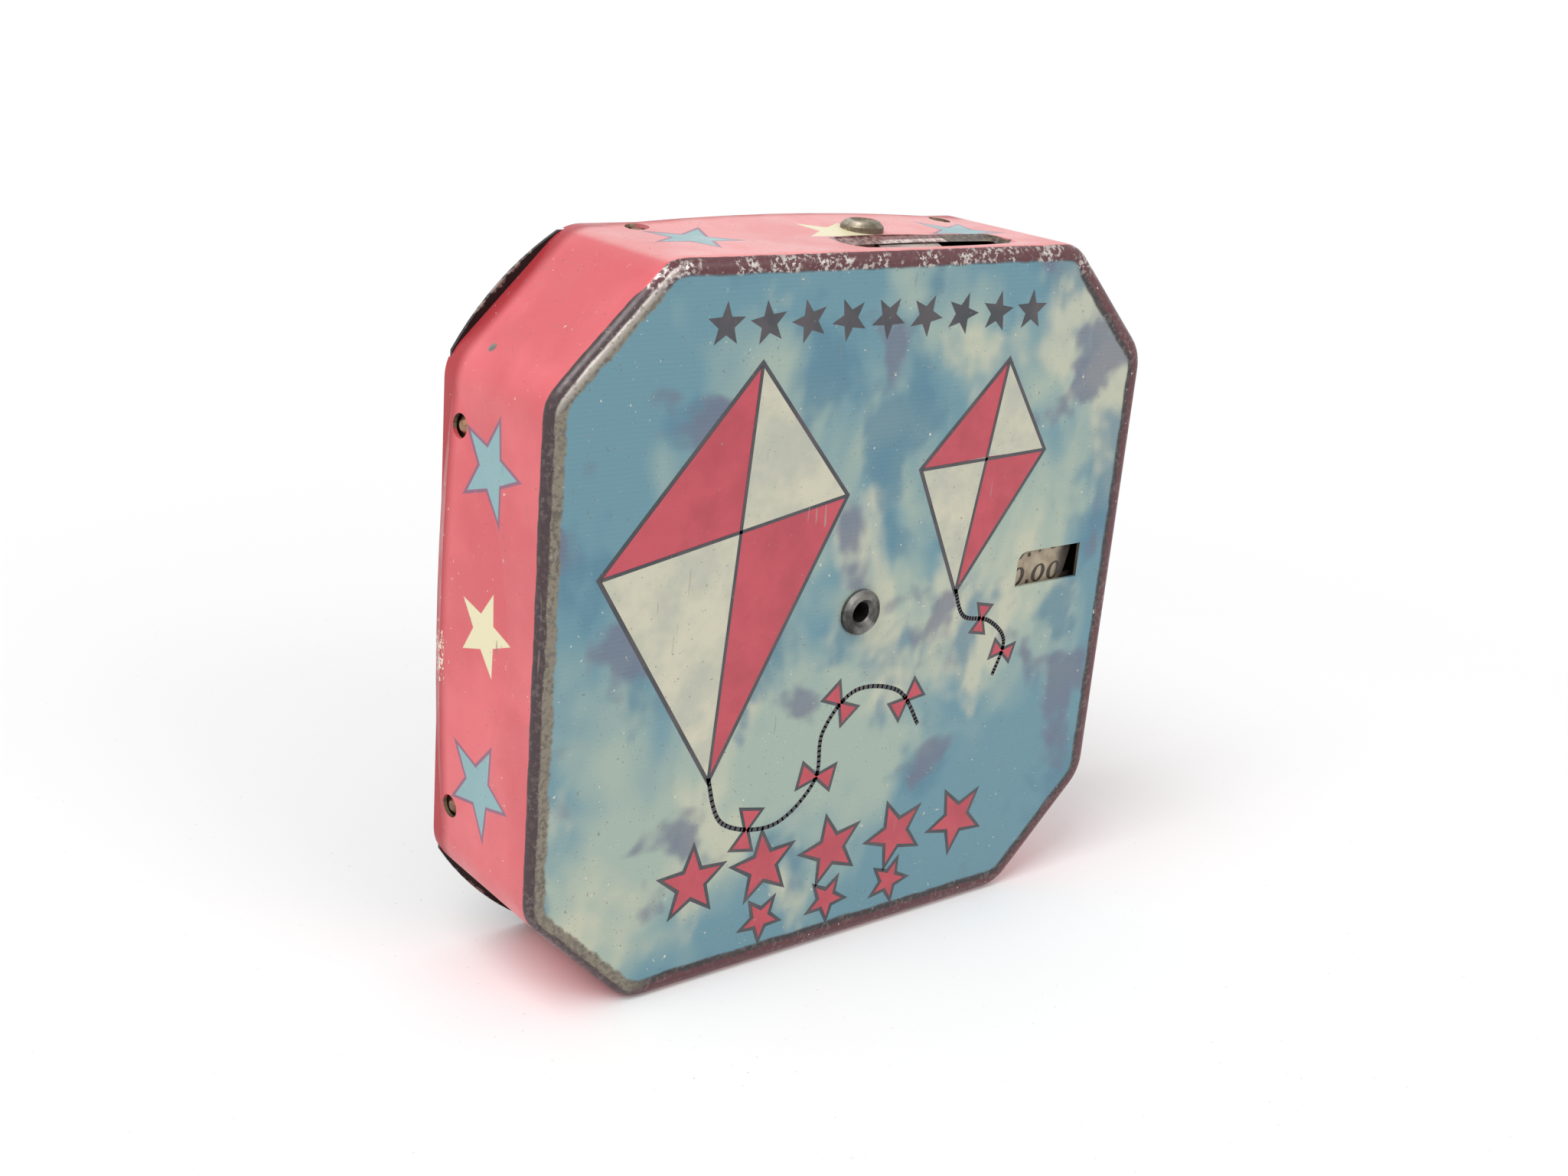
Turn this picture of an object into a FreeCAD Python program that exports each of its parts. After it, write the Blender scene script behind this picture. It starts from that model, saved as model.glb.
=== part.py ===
"""Octagonal tin coin bank with a register dial, as separate pieces. Millimetres, +Z up.

X runs to the right seen from the front, Y runs from the front to the back, and the origin lies under the
middle of the bank, on the surface that it stands on.
"""

import FreeCAD, Part
import math
import os

V = FreeCAD.Vector

# Case, drawn from one sheet
case_width = 68.3
case_height = 67.7
case_depth = 17.2
corner_cut = 10.9
vertex_radius = 4.5
rim_radius = 1.0
sheet = 0.35
straight_depth = 5.0
roll_depth = 1.8
belly = 0.8
roll_in = 0.6

# Coin, and the slot that takes it
coin_diameter = 17.91
coin_thickness = 1.35
slot_end_play = 0.39
slot_side_play = 0.38
slot_right = 7.4
slot_setback = 4.5
slot_press = 0.9
slot_press_back = 0.41
mouth_front = 2.3
mouth_back = 1.5
mouth_end = 0.8
mouth_side = 0.5
mouth_taper = 0.8

# Window in the front face
window_left = 20.1
window_width = 8.6
window_height = 3.6
window_rise = 1.3
window_radius = 1.2

# Snap holes along the back edge of each straight wall
snap_spacing = 35.3
snap_hole_radius = 1.1
snap_setback = 3.2

# Hollow rivet that is the register's axle
axle_rise = 0.5
axle_radius = 1.45
axle_bore = 1.0
eyelet_radius = 2.2
eyelet_proud = 0.7
clinch = 0.45

# Register: dial, ratchet wheel, bush and lock disc, stacked on the axle from the front
tooth_count = 50
tip_radius = 28.9
tooth_depth = 1.2
tooth_undercut = 4.0
wheel_sheet = 0.5
dial_margin = 0.2
dial_sheet = 0.15
washer_sheet = 0.4
washer_radius = 4.0
end_washer_radius = 2.6
end_washer_sheet = 0.3
bush_length = 1.5
bush_radius = 3.4
lock_radius = 6.0
lock_sheet = 0.5
hub_rivet_radius = 0.4
hub_rivet_circle = 2.4

# Running clearances
bore_clearance = 0.05
face_clearance = 0.05
plate_gap = 0.3
rivet_play = 0.02

# Coin lever and its pawl
swing = 70.0
pawl_radius = 3.6
pivot_angle = 46.74
pawl_depth = 0.8
lost_motion = 0.12
lever_sheet = 0.6
lever_hub = 3.0
pin_radius = 0.9
pin_head = 1.4
pad_left = 4.7
pad_right = 2.5
pad_sheet = 0.45
pad_drop = 0.7
pad_overhang = 0.55
bush_wall = 0.9
small_sides = 16
finger_sheet = 0.2
pawl_foot = 0.9
pawl_foot_sheet = 0.25
pawl_root_out = 1.5
pawl_root_back = 3.6
arm_taper = 0.6
arm_depth = 2.1
lug_left = 4.9
lug_up = 2.6
lug_length = 1.6

# Small rivets
small_rivet = 0.45
small_head = 0.25
small_lip = 0.25
pawl_rivet_lip = 0.15

# Bracket that the top rivet holds
bracket_sheet = 0.45
bracket_back = 3.2
cheek_gap = 0.25
cheek_drop = 6.2
cheek_back = 2.0
cheek_reach = 1.25
cheek_low = 1.5
arm_gap = 0.25
arm_height = 2.2
ear_round = 0.2
ear_height = 7.0
spring_room = 3.85
rivet_right = 3.6
rivet_setback = 9.05
rivet_head = 2.0
rivet_shank = 1.2
rivet_proud = 0.9
rivet_bore = 0.8

# Return spring round the lever's pin
spring_wire = 0.35
spring_turns = 2
spring_gap = 0.2
lug_radius = 0.4
spring_radius = 1.55
spring_touch = 0.03
spring_back = 0.75
spring_rest = 3.0
spring_end = 0.6

# Check spring that stops the wheel turning back
check_sheet = 0.25
check_width = 5.0
check_along = 2.0
check_tooth = 11
check_lead = 0.35
check_stake_along = 2.4
check_stake_y = 3.9
check_base_end = 1.6
knee_along = 3.2
knee_out = 0.9
bend_along = 0.2
bend_in = 1.6

# Back cover, its snap strips and its lock hook
cover_gap = 0.15
lobe_proud = 0.85
strip_length = 40.0
strip_depth = 4.6
strip_foot = 2.5
strip_sheet = 0.3
dimple_radius = 0.95
dimple_reach = 0.2
hook_sheet = 0.5
hook_width = 4.0
hook_reach = 2.0
hook_gap = 0.6
hook_foot = 7.5
hook_rivet_share = 0.6
notch_play = 0.5

# Planes and centres that follow from the sizes above
front_y = -(case_depth - eyelet_proud) / 2
back_y = front_y + case_depth
inner_y = front_y + sheet
mid_z = case_height / 2
half_w = case_width / 2
half_h = case_height / 2
cut_line = half_w + half_h - corner_cut
top_z = case_height
ceiling_z = top_z - sheet

axle_z = mid_z + axle_rise
washer_y = inner_y + face_clearance
dial_y = washer_y + washer_sheet + face_clearance
wheel_y = dial_y + dial_sheet
bush_y = wheel_y + wheel_sheet
lock_y = bush_y + bush_length
end_washer_y = lock_y + lock_sheet + face_clearance
clinch_y = end_washer_y + end_washer_sheet + face_clearance

root_radius = tip_radius - tooth_depth
pitch = 360.0 / tooth_count

slot_y = front_y + slot_setback
mouth_z = top_z - slot_press
slot_half = coin_diameter / 2 + slot_end_play
slot_half_width = coin_thickness / 2 + slot_side_play
lip_back_z = top_z - slot_press_back
lip_tilt = (lip_back_z - mouth_z) / (2 * slot_half_width)
coin_left = slot_right - coin_diameter / 2
coin_right = slot_right + coin_diameter / 2

lever_y = bush_y + plate_gap
lever_back_y = lever_y + lever_sheet
ear_y = lever_back_y + spring_room
pad_z = mouth_z - pad_drop
pad_end_y = slot_y + coin_thickness / 2 + pad_overhang
rivet_y = front_y + rivet_setback
cover_y = back_y - sheet
snap_y = back_y - snap_setback
roll_y = back_y - roll_depth
edge_bow = belly - roll_in

# Line of centres from the lever's pin to the axle, and the way the pawl drives the rim
pivot_distance = tip_radius - pawl_depth + pawl_radius
inward = (-math.cos(math.radians(pivot_angle)), -math.sin(math.radians(pivot_angle)))
drive = (math.sin(math.radians(pivot_angle)), -math.cos(math.radians(pivot_angle)))
pivot = (-pivot_distance * inward[0], axle_z - pivot_distance * inward[1])


def prism(points, axis, low, high):
    """A prism on a closed outline: (x, z) along y, (x, y) along z, or (y, z) along x."""
    place = {
        "x": lambda a, b: V(low, a, b),
        "y": lambda a, b: V(a, low, b),
        "z": lambda a, b: V(a, b, low),
    }[axis]
    way = {"x": V(high - low, 0, 0), "y": V(0, high - low, 0), "z": V(0, 0, high - low)}[axis]
    corners = [place(a, b) for a, b in points]
    return Part.Face(Part.makePolygon(corners + corners[:1])).extrude(way)


def ribbon(points, thickness, axis, low, high):
    """A bent strip of one thickness, whose centre line runs through the points."""
    left, right = [], []
    for i, (a, b) in enumerate(points):
        before = points[max(i - 1, 0)]
        after = points[min(i + 1, len(points) - 1)]
        turn_in = math.atan2(b - before[1], a - before[0])
        turn_out = math.atan2(after[1] - b, after[0] - a)
        if i == 0:
            turn_in = turn_out
        if i == len(points) - 1:
            turn_out = turn_in
        half_bend = ((turn_out - turn_in + math.pi) % (2 * math.pi) - math.pi) / 2
        normal = turn_in + half_bend + math.pi / 2
        reach = thickness / 2 / math.cos(half_bend)
        left.append((a + reach * math.cos(normal), b + reach * math.sin(normal)))
        right.append((a - reach * math.cos(normal), b - reach * math.sin(normal)))
    return prism(left + right[::-1], axis, low, high)


def disc(radius, x, z, low, high, bore=0.0):
    """A round plate about an axis along Y, with a bore if one is given."""
    plate = Part.makeCylinder(radius, high - low, V(x, low, z), V(0, 1, 0))
    if bore:
        plate = plate.cut(Part.makeCylinder(bore, high - low + 2, V(x, low - 1, z), V(0, 1, 0)))
    return plate


def ring(radius, centre, way):
    """A closed outline with few sides, for the small round holes, pins and dimples."""
    across = V(1, 0, 0) if abs(way.y) > 0.5 else V(0, 1, 0)
    other = way.cross(across)
    corners = []
    for i in range(small_sides + 1):
        a = math.radians(360.0 * i / small_sides)
        corners.append(centre + across * (radius * math.cos(a)) + other * (radius * math.sin(a)))
    return Part.makePolygon(corners)


def peg(radius, base, way, length):
    """A small round pin or hole filler."""
    return Part.Face(ring(radius, base, way)).extrude(way * length)


def turned(profile, centre, axis):
    """A solid of revolution: the profile's points are (radius, distance along the axis)."""
    side = V(1, 0, 0)
    points = [centre + side * r + axis * d for r, d in profile]
    face = Part.Face(Part.makePolygon(points + points[:1]))
    return face.revolve(centre, axis, 360)


def swung(x, z, angle):
    """A point turned about the lever's pin, anticlockwise seen from the front."""
    a = math.radians(angle)
    dx, dz = x - pivot[0], z - pivot[1]
    return (
        pivot[0] + dx * math.cos(a) - dz * math.sin(a),
        pivot[1] + dx * math.sin(a) + dz * math.cos(a),
    )


def outline(y, inset=0.0):
    """The case's eight sides with rounded corners, as one wire."""
    hw, hh = half_w - inset, half_h - inset
    line = cut_line - inset * math.sqrt(2)
    radius = vertex_radius - inset
    corners = [
        (-(line - hh), -hh), (line - hh, -hh),
        (hw, -(line - hw)), (hw, line - hw),
        (line - hh, hh), (-(line - hh), hh),
        (-hw, line - hw), (-hw, -(line - hw)),
    ]
    arcs = []
    for i, (cx, cz) in enumerate(corners):
        px, pz = corners[i - 1]
        nx, nz = corners[(i + 1) % 8]
        back = V(px - cx, 0, pz - cz).normalize()
        forth = V(nx - cx, 0, nz - cz).normalize()
        half = back.getAngle(forth) / 2
        vertex = V(cx, y, cz + mid_z)
        centre = vertex + (back + forth).normalize() * (radius / math.sin(half))
        run = radius / math.tan(half)
        middle = centre + (vertex - centre).normalize() * radius
        arcs.append((vertex + back * run, middle, vertex + forth * run))
    edges = []
    for i, (start, middle, end) in enumerate(arcs):
        edges.append(Part.Arc(start, middle, end).toShape())
        edges.append(Part.LineSegment(end, arcs[(i + 1) % 8][0]).toShape())
    return Part.Wire(edges)


def half_run(reach):
    """Half the straight length of a wall that stands at this distance from the middle."""
    return cut_line - reach - vertex_radius * math.tan(math.radians(22.5))


def belly_radius(reach):
    """Radius across a bowed wall where its swelling begins."""
    return (half_run(reach) ** 2 - belly ** 2) / (2 * belly)


def bellies(inset):
    """The swelling of the top and side walls: it grows towards the back, and rolls in at the edge."""
    swellings = []
    start = front_y + straight_depth
    for turn, reach in ((0, half_h), (90, half_w), (270, half_w)):
        flat = belly_radius(reach)
        centre = V(0, 0, mid_z + reach - flat)
        low = flat - inset
        bowed = turned([
            (0, start), (low, start), (low + belly, roll_y), (low + edge_bow, back_y), (0, back_y),
        ], centre, V(0, 1, 0))
        run = half_run(reach)
        floor = mid_z + reach - inset - sheet / 2
        keep = Part.makeBox(2 * run, back_y - start, 2 * belly, V(-run, start, floor))
        swelling = bowed.common(keep)
        swelling.rotate(V(0, 0, mid_z), V(0, 1, 0), turn)
        swellings.append(swelling)
    return swellings


def wall_bow(along, y, reach):
    """How far a bowed wall stands out of its plane, at a distance from its middle."""
    flat = belly_radius(reach)
    rise = belly * (y - front_y - straight_depth) / (roll_y - front_y - straight_depth)
    return math.sqrt((flat + rise) ** 2 - along ** 2) - flat


def case_volume(inset):
    """The solid inside the case's surface at an inset, from the front face to the back edge."""
    start = front_y + inset
    block = Part.Face(outline(start, inset)).extrude(V(0, back_y - start, 0))
    front_edges = [e for e in block.Edges if abs(e.BoundBox.YMax - start) < 1e-6]
    if inset:
        block = block.makeChamfer((rim_radius - inset) * 0.7, front_edges)
    else:
        block = block.makeFillet(rim_radius, front_edges)
    return block.fuse(bellies(inset))


def mouth(grow, z, front, back, tilt=0.0):
    """One outline of the slot's pressed mouth: nearly parallel sides and rounded ends, tilted to the front."""
    half = slot_half + grow
    shoulder = half - mouth_end
    f, b = slot_half_width + front, slot_half_width + back
    places = [
        (-shoulder, -f * mouth_taper), (0, -f), (shoulder, -f * mouth_taper), (half, 0),
        (shoulder, b * mouth_taper), (0, b), (-shoulder, b * mouth_taper), (-half, 0),
    ]
    p = [V(slot_right + x, slot_y + y, z + tilt * (y + slot_half_width)) for x, y in places]
    return Part.Wire([
        Part.Arc(p[0], p[1], p[2]).toShape(), Part.Arc(p[2], p[3], p[4]).toShape(),
        Part.Arc(p[4], p[5], p[6]).toShape(), Part.Arc(p[6], p[7], p[0]).toShape(),
    ])


def pressed_lip():
    """The sheet round the slot, pressed down most along its front, as one solid without the opening."""
    return Part.makeLoft([
        mouth(mouth_side + sheet, ceiling_z + sheet / 2, mouth_front + sheet, mouth_back + sheet),
        mouth(sheet, mouth_z, sheet, sheet, lip_tilt),
    ], True, True)


def front_case():
    """Drawn pan with the window, the axle hole, the pressed slot and the snap holes."""
    shell = case_volume(0.0).cut(case_volume(sheet))
    shell = shell.fuse(pressed_lip())
    shell = shell.cut(Part.makeLoft([
        mouth(mouth_side, top_z, mouth_front, mouth_back),
        mouth(0.0, mouth_z, 0.0, 0.0, lip_tilt),
    ], True, True))
    shell = shell.cut(Part.makeLoft([
        mouth(mouth_side, top_z, mouth_front, mouth_back),
        mouth(mouth_side, top_z + 1, mouth_front, mouth_back),
    ], True, True))
    shell = shell.cut(window_hole())
    shell = shell.cut(disc(axle_radius + rivet_play, 0, axle_z, front_y - 1, inner_y + 1))
    shell = shell.cut(Part.makeCylinder(rivet_shank + rivet_play, 4, V(rivet_right, rivet_y, top_z - 2)))
    stake, out = stake_axis()
    shell = shell.cut(peg(small_rivet, stake - out, out, 2))
    for hole in snap_holes():
        shell = shell.cut(hole)
    seat = cover_plate(cover_y, back_y + 2, cover_gap * 0.8)
    return shell.cut(seat)


def window_hole():
    """The window's cut: three square corners and one rounded one."""
    x0, x1 = window_left, window_left + window_width
    z0 = axle_z + window_rise - window_height / 2
    z1 = z0 + window_height
    y = front_y - 1
    k = window_radius * (1 - math.sqrt(0.5))
    edges = [
        Part.LineSegment(V(x0, y, z0), V(x1, y, z0)).toShape(),
        Part.LineSegment(V(x1, y, z0), V(x1, y, z1)).toShape(),
        Part.LineSegment(V(x1, y, z1), V(x0 + window_radius, y, z1)).toShape(),
        Part.Arc(
            V(x0 + window_radius, y, z1), V(x0 + k, y, z1 - k), V(x0, y, z1 - window_radius),
        ).toShape(),
        Part.LineSegment(V(x0, y, z1 - window_radius), V(x0, y, z0)).toShape(),
    ]
    return Part.Face(Part.Wire(edges)).extrude(V(0, sheet + 2, 0))


def snap_places():
    """The eight snap points: a point on the wall and the wall's outward direction."""
    places = []
    for s in (-1, 1):
        along = s * snap_spacing / 2
        places.append((V(-half_w, snap_y, mid_z + along), V(-1, 0, 0)))
        places.append((V(half_w, snap_y, mid_z + along), V(1, 0, 0)))
        places.append((V(along, snap_y, top_z), V(0, 0, 1)))
        places.append((V(along, snap_y, 0), V(0, 0, -1)))
    return places


def snap_holes():
    """Round holes through the straight walls, near their back edge."""
    return [
        peg(snap_hole_radius, point - out * (sheet + 0.5), out, 2 * sheet + 1)
        for point, out in snap_places()
    ]


def centre_eyelet():
    """Hollow rivet: rolled flange outside, barrel as the axle, clinched end inside."""
    front = front_y - eyelet_proud
    lip = eyelet_radius - axle_radius
    return turned([
        (axle_bore, front + 0.7 * eyelet_proud), (axle_bore + 0.5 * lip, front),
        (eyelet_radius - 0.4 * lip, front), (eyelet_radius, front + 0.5 * eyelet_proud),
        (eyelet_radius, front_y),
        (axle_radius, front_y), (axle_radius, clinch_y),
        (eyelet_radius, clinch_y + 0.4 * clinch), (axle_bore, clinch_y + clinch),
    ], V(0, 0, axle_z), V(0, 1, 0))


def spacing_washer():
    """Washer that holds the dial off the front face."""
    bore = axle_radius + bore_clearance
    return disc(washer_radius, 0, axle_z, washer_y, washer_y + washer_sheet, bore)


def end_washer():
    """Washer under the axle's clinched end."""
    bore = axle_radius + bore_clearance
    return disc(end_washer_radius, 0, axle_z, end_washer_y, end_washer_y + end_washer_sheet, bore)


def pawl_nose():
    """Where the pawl's nose stands at rest: the point, and its angle about the axle."""
    middle = (pivot[0] + pawl_radius * inward[0], pivot[1] + pawl_radius * inward[1])
    x, z = swung(middle[0], middle[1], -swing / 2)
    return x, z, math.degrees(math.atan2(z - axle_z, x))


def register_wheel():
    """Ratchet wheel: saw teeth that rise anticlockwise and drop at a steep, undercut face."""
    steep = pawl_nose()[2] - lost_motion * pitch
    points = []
    for i in range(tooth_count):
        low = math.radians(steep + i * pitch)
        high = low + math.radians(pitch)
        slant = math.tan(math.radians(tooth_undercut)) * tooth_depth / tip_radius
        points.append((root_radius * math.cos(low - slant), axle_z + root_radius * math.sin(low - slant)))
        middle = (low + high) / 2
        rise = root_radius + 0.45 * tooth_depth
        points.append((rise * math.cos(middle), axle_z + rise * math.sin(middle)))
        points.append((tip_radius * math.cos(high), axle_z + tip_radius * math.sin(high)))
    wheel = prism(points, "y", wheel_y, bush_y)
    wheel = wheel.cut(disc(axle_radius + bore_clearance, 0, axle_z, wheel_y - 1, bush_y + 1))
    return drilled_hub(wheel)


def drilled_hub(plate):
    """Holes for the two rivets that tie the wheel, the bush and the lock disc."""
    for s in (-1, 1):
        base = V(0, wheel_y - 1, axle_z + s * hub_rivet_circle)
        plate = plate.cut(peg(hub_rivet_radius, base, V(0, 1, 0), end_washer_y + 2 - wheel_y))
    return plate


def dial_disc():
    """Printed disc glued on the wheel's face, inside the teeth."""
    return disc(root_radius - dial_margin, 0, axle_z, dial_y, wheel_y, washer_radius + bore_clearance)


def hub_bush():
    """Bush between the wheel and the lock disc."""
    bush = disc(bush_radius, 0, axle_z, bush_y, lock_y, axle_radius + bore_clearance)
    return drilled_hub(bush)


def lock_disc():
    """Disc whose one notch lets the cover's hook pass when the dial is back at its start."""
    plate = disc(lock_radius, 0, axle_z, lock_y, lock_y + lock_sheet, axle_radius + bore_clearance)
    half = hook_width / 2 + notch_play
    floor = lock_radius - hook_reach - notch_play
    plate = plate.cut(prism(
        [(-lock_radius - 1, axle_z - half), (-floor, axle_z - half),
         (-floor, axle_z + half), (-lock_radius - 1, axle_z + half)],
        "y", lock_y - 1, lock_y + lock_sheet + 1,
    ))
    return drilled_hub(plate)


def hub_rivets():
    """Two pins through the wheel, the bush and the lock disc."""
    length = lock_y + lock_sheet - wheel_y
    places = [V(0, wheel_y, axle_z + s * hub_rivet_circle) for s in (-1, 1)]
    return Part.makeCompound([peg(hub_rivet_radius, place, V(0, 1, 0), length) for place in places])


def lever_outline():
    """Half-round hub and an arm that narrows towards the pad under the slot."""
    x0, x1 = slot_right - pad_left, slot_right + pad_right
    px, pz = pivot
    edges = []
    reach = math.hypot(x1 - px, pad_z - pz)
    aim = math.atan2(pad_z - pz, x1 - px)
    upper = aim - math.acos(lever_hub / reach)
    lower_end = (x0 + arm_taper, pad_z - arm_depth)
    aim_low = math.atan2(lower_end[1] - pz, lower_end[0] - px)
    reach_low = math.hypot(lower_end[0] - px, lower_end[1] - pz)
    lower = aim_low + math.acos(lever_hub / reach_low)

    def at(angle):
        return V(px + lever_hub * math.cos(angle), lever_y, pz + lever_hub * math.sin(angle))

    sweep = (lower - upper) % (2 * math.pi)
    a, b = at(upper), at(lower)
    far = at(upper - (2 * math.pi - sweep) / 2)
    tip = [V(x1, lever_y, pad_z), V(x0, lever_y, pad_z), V(lower_end[0], lever_y, lower_end[1])]
    edges.append(Part.Arc(b, far, a).toShape())
    edges.append(Part.LineSegment(a, tip[0]).toShape())
    edges.append(Part.LineSegment(tip[0], tip[1]).toShape())
    edges.append(Part.LineSegment(tip[1], tip[2]).toShape())
    edges.append(Part.LineSegment(tip[2], b).toShape())
    return Part.Wire(edges)


def pawl_root():
    """Where the pawl is riveted to the lever, at rest."""
    x = pivot[0] - pawl_root_out * inward[0] - pawl_root_back * drive[0]
    z = pivot[1] - pawl_root_out * inward[1] - pawl_root_back * drive[1]
    return swung(x, z, -swing / 2)


def spring_lug():
    """The lever's small lug that the return spring lifts: its middle, at rest."""
    return (pivot[0] - lug_left, pivot[1] + lug_up)


def coin_lever():
    """Stamped lever: a coin pad bent back under the slot, and a lug for the return spring."""
    plate = Part.Face(lever_outline()).extrude(V(0, lever_sheet, 0))
    end_z = lip_back_z - face_clearance
    pad = prism(
        [(lever_y, pad_z), (pad_end_y, end_z), (pad_end_y, end_z - pad_sheet),
         (lever_y, pad_z - pad_sheet)],
        "x", slot_right - pad_left, slot_right + pad_right,
    )
    lx, lz = spring_lug()
    middle_y = (lever_y + lever_back_y) / 2
    lug = peg(lug_radius, V(lx, middle_y, lz), V(0, 1, 0), lug_length + lever_sheet / 2)
    lever = plate.fuse([pad, lug])
    bush = pin_radius + bore_clearance + bush_wall
    lever = lever.cut(disc(bush, pivot[0], pivot[1], lever_y - 1, lever_back_y + 1))
    rx, rz = pawl_root()
    lever = lever.cut(peg(small_rivet, V(rx, lever_y - 1, rz), V(0, 1, 0), 3))
    return lever.removeSplitter()


def lever_bush():
    """Bush pressed into the lever, running on the pin."""
    bore = pin_radius + bore_clearance
    return disc(bore + bush_wall, pivot[0], pivot[1], lever_y - face_clearance, lever_back_y, bore)


def drive_pawl():
    """Springy finger on the lever: a foot under the rivet and a blade to the teeth."""
    rx, rz = pawl_root()
    foot_y = lever_y - pawl_foot_sheet
    forward = V(0, 1, 0)
    foot = peg(pawl_foot, V(rx, foot_y, rz), forward, lever_y - foot_y)
    foot = foot.cut(peg(small_rivet, V(rx, foot_y - 1, rz), forward, 3))
    nx, nz, _ = pawl_nose()
    length = math.hypot(nx - rx, nz - rz)
    ux, uz = (nx - rx) / length, (nz - rz) / length
    start = pawl_foot - 0.2
    side = finger_sheet / 2
    blade = ribbon([
        (rx + ux * start - uz * side, rz + uz * start + ux * side),
        (nx - uz * side, nz + ux * side),
    ], finger_sheet, "y", wheel_y, lever_y)
    return foot.fuse(blade)


def pawl_rivet():
    """Small rivet that holds the pawl's foot to the lever."""
    rx, rz = pawl_root()
    forward = V(0, 1, 0)
    foot_y = lever_y - pawl_foot_sheet
    shank = peg(small_rivet, V(rx, foot_y, rz), forward, lever_sheet + pawl_foot_sheet)
    head = peg(small_rivet + pawl_rivet_lip, V(rx, foot_y - small_head, rz), forward, small_head)
    tail = peg(small_rivet + small_lip, V(rx, lever_back_y, rz), forward, small_head)
    return shank.fuse([head, tail])


def lever_pin():
    """Shouldered pin from the bracket's ear, with its head in front of the lever."""
    front = lever_y - 2 * face_clearance
    px, pz = pivot
    ear_back = ear_y + bracket_sheet
    return turned([
        (0, front - 0.4), (pin_head, front - 0.4), (pin_head, front), (pin_radius, front),
        (pin_radius, ear_back), (pin_head, ear_back + 0.1), (pin_radius, ear_back + 0.4),
        (0, ear_back + 0.4),
    ], V(px, 0, pz), V(0, 1, 0))


def return_spring():
    """Wire coil round the pin: one leg lifts the lever's lug, the other bears on the right cheek."""
    px, pz = pivot
    wire = spring_wire / 2
    lx, lz = spring_lug()
    back_y_mid = ear_y - spring_back - wire
    front_y_mid = lever_back_y + spring_gap + wire
    lug_reach = math.hypot(lx - px, lz - pz)
    lug_way = math.atan2(lz - pz, lx - px)
    lug_side = spring_radius + lug_radius + wire + spring_touch
    front_way = lug_way + math.asin(lug_side / lug_reach)
    front_angle = front_way - math.pi / 2
    tx = coin_right + slot_end_play + cheek_gap + bracket_sheet + wire + spring_touch
    tz = cheek_rest() + spring_rest
    rest_reach = math.hypot(tx - px, tz - pz)
    back_way = math.atan2(tz - pz, tx - px) - math.asin(spring_radius / rest_reach)
    back_angle = back_way + math.pi / 2
    turns = spring_turns + ((front_angle - back_angle) / (2 * math.pi)) % 1.0

    def on_coil(part):
        angle = back_angle + part * turns * 2 * math.pi
        y = back_y_mid + part * (front_y_mid - back_y_mid)
        return V(px + spring_radius * math.cos(angle), y, pz + spring_radius * math.sin(angle))

    first, last = on_coil(0), on_coil(1)
    back_leg = math.sqrt(rest_reach ** 2 - spring_radius ** 2)
    front_leg = math.sqrt(lug_reach ** 2 - lug_side ** 2) + spring_end
    begin = first + V(math.cos(back_way), 0, math.sin(back_way)) * back_leg
    end = last + V(math.cos(front_way), 0, math.sin(front_way)) * front_leg
    edges = [Part.LineSegment(begin, first).toShape()]
    steps = 4 * (spring_turns + 1)
    for i in range(steps):
        arc = Part.Arc(on_coil(i / steps), on_coil((i + 0.5) / steps), on_coil((i + 1) / steps))
        edges.append(arc.toShape())
    edges.append(Part.LineSegment(last, end).toShape())
    along = (first - begin).normalize()
    across = along.cross(V(0, 1, 0))
    corners = []
    for i in range(5):
        a = math.radians(90 * i + 45)
        corners.append(begin + across * (wire * math.cos(a)) + V(0, 1, 0) * (wire * math.sin(a)))
    return Part.Wire(edges).makePipeShell([Part.makePolygon(corners)], True, False)


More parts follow.
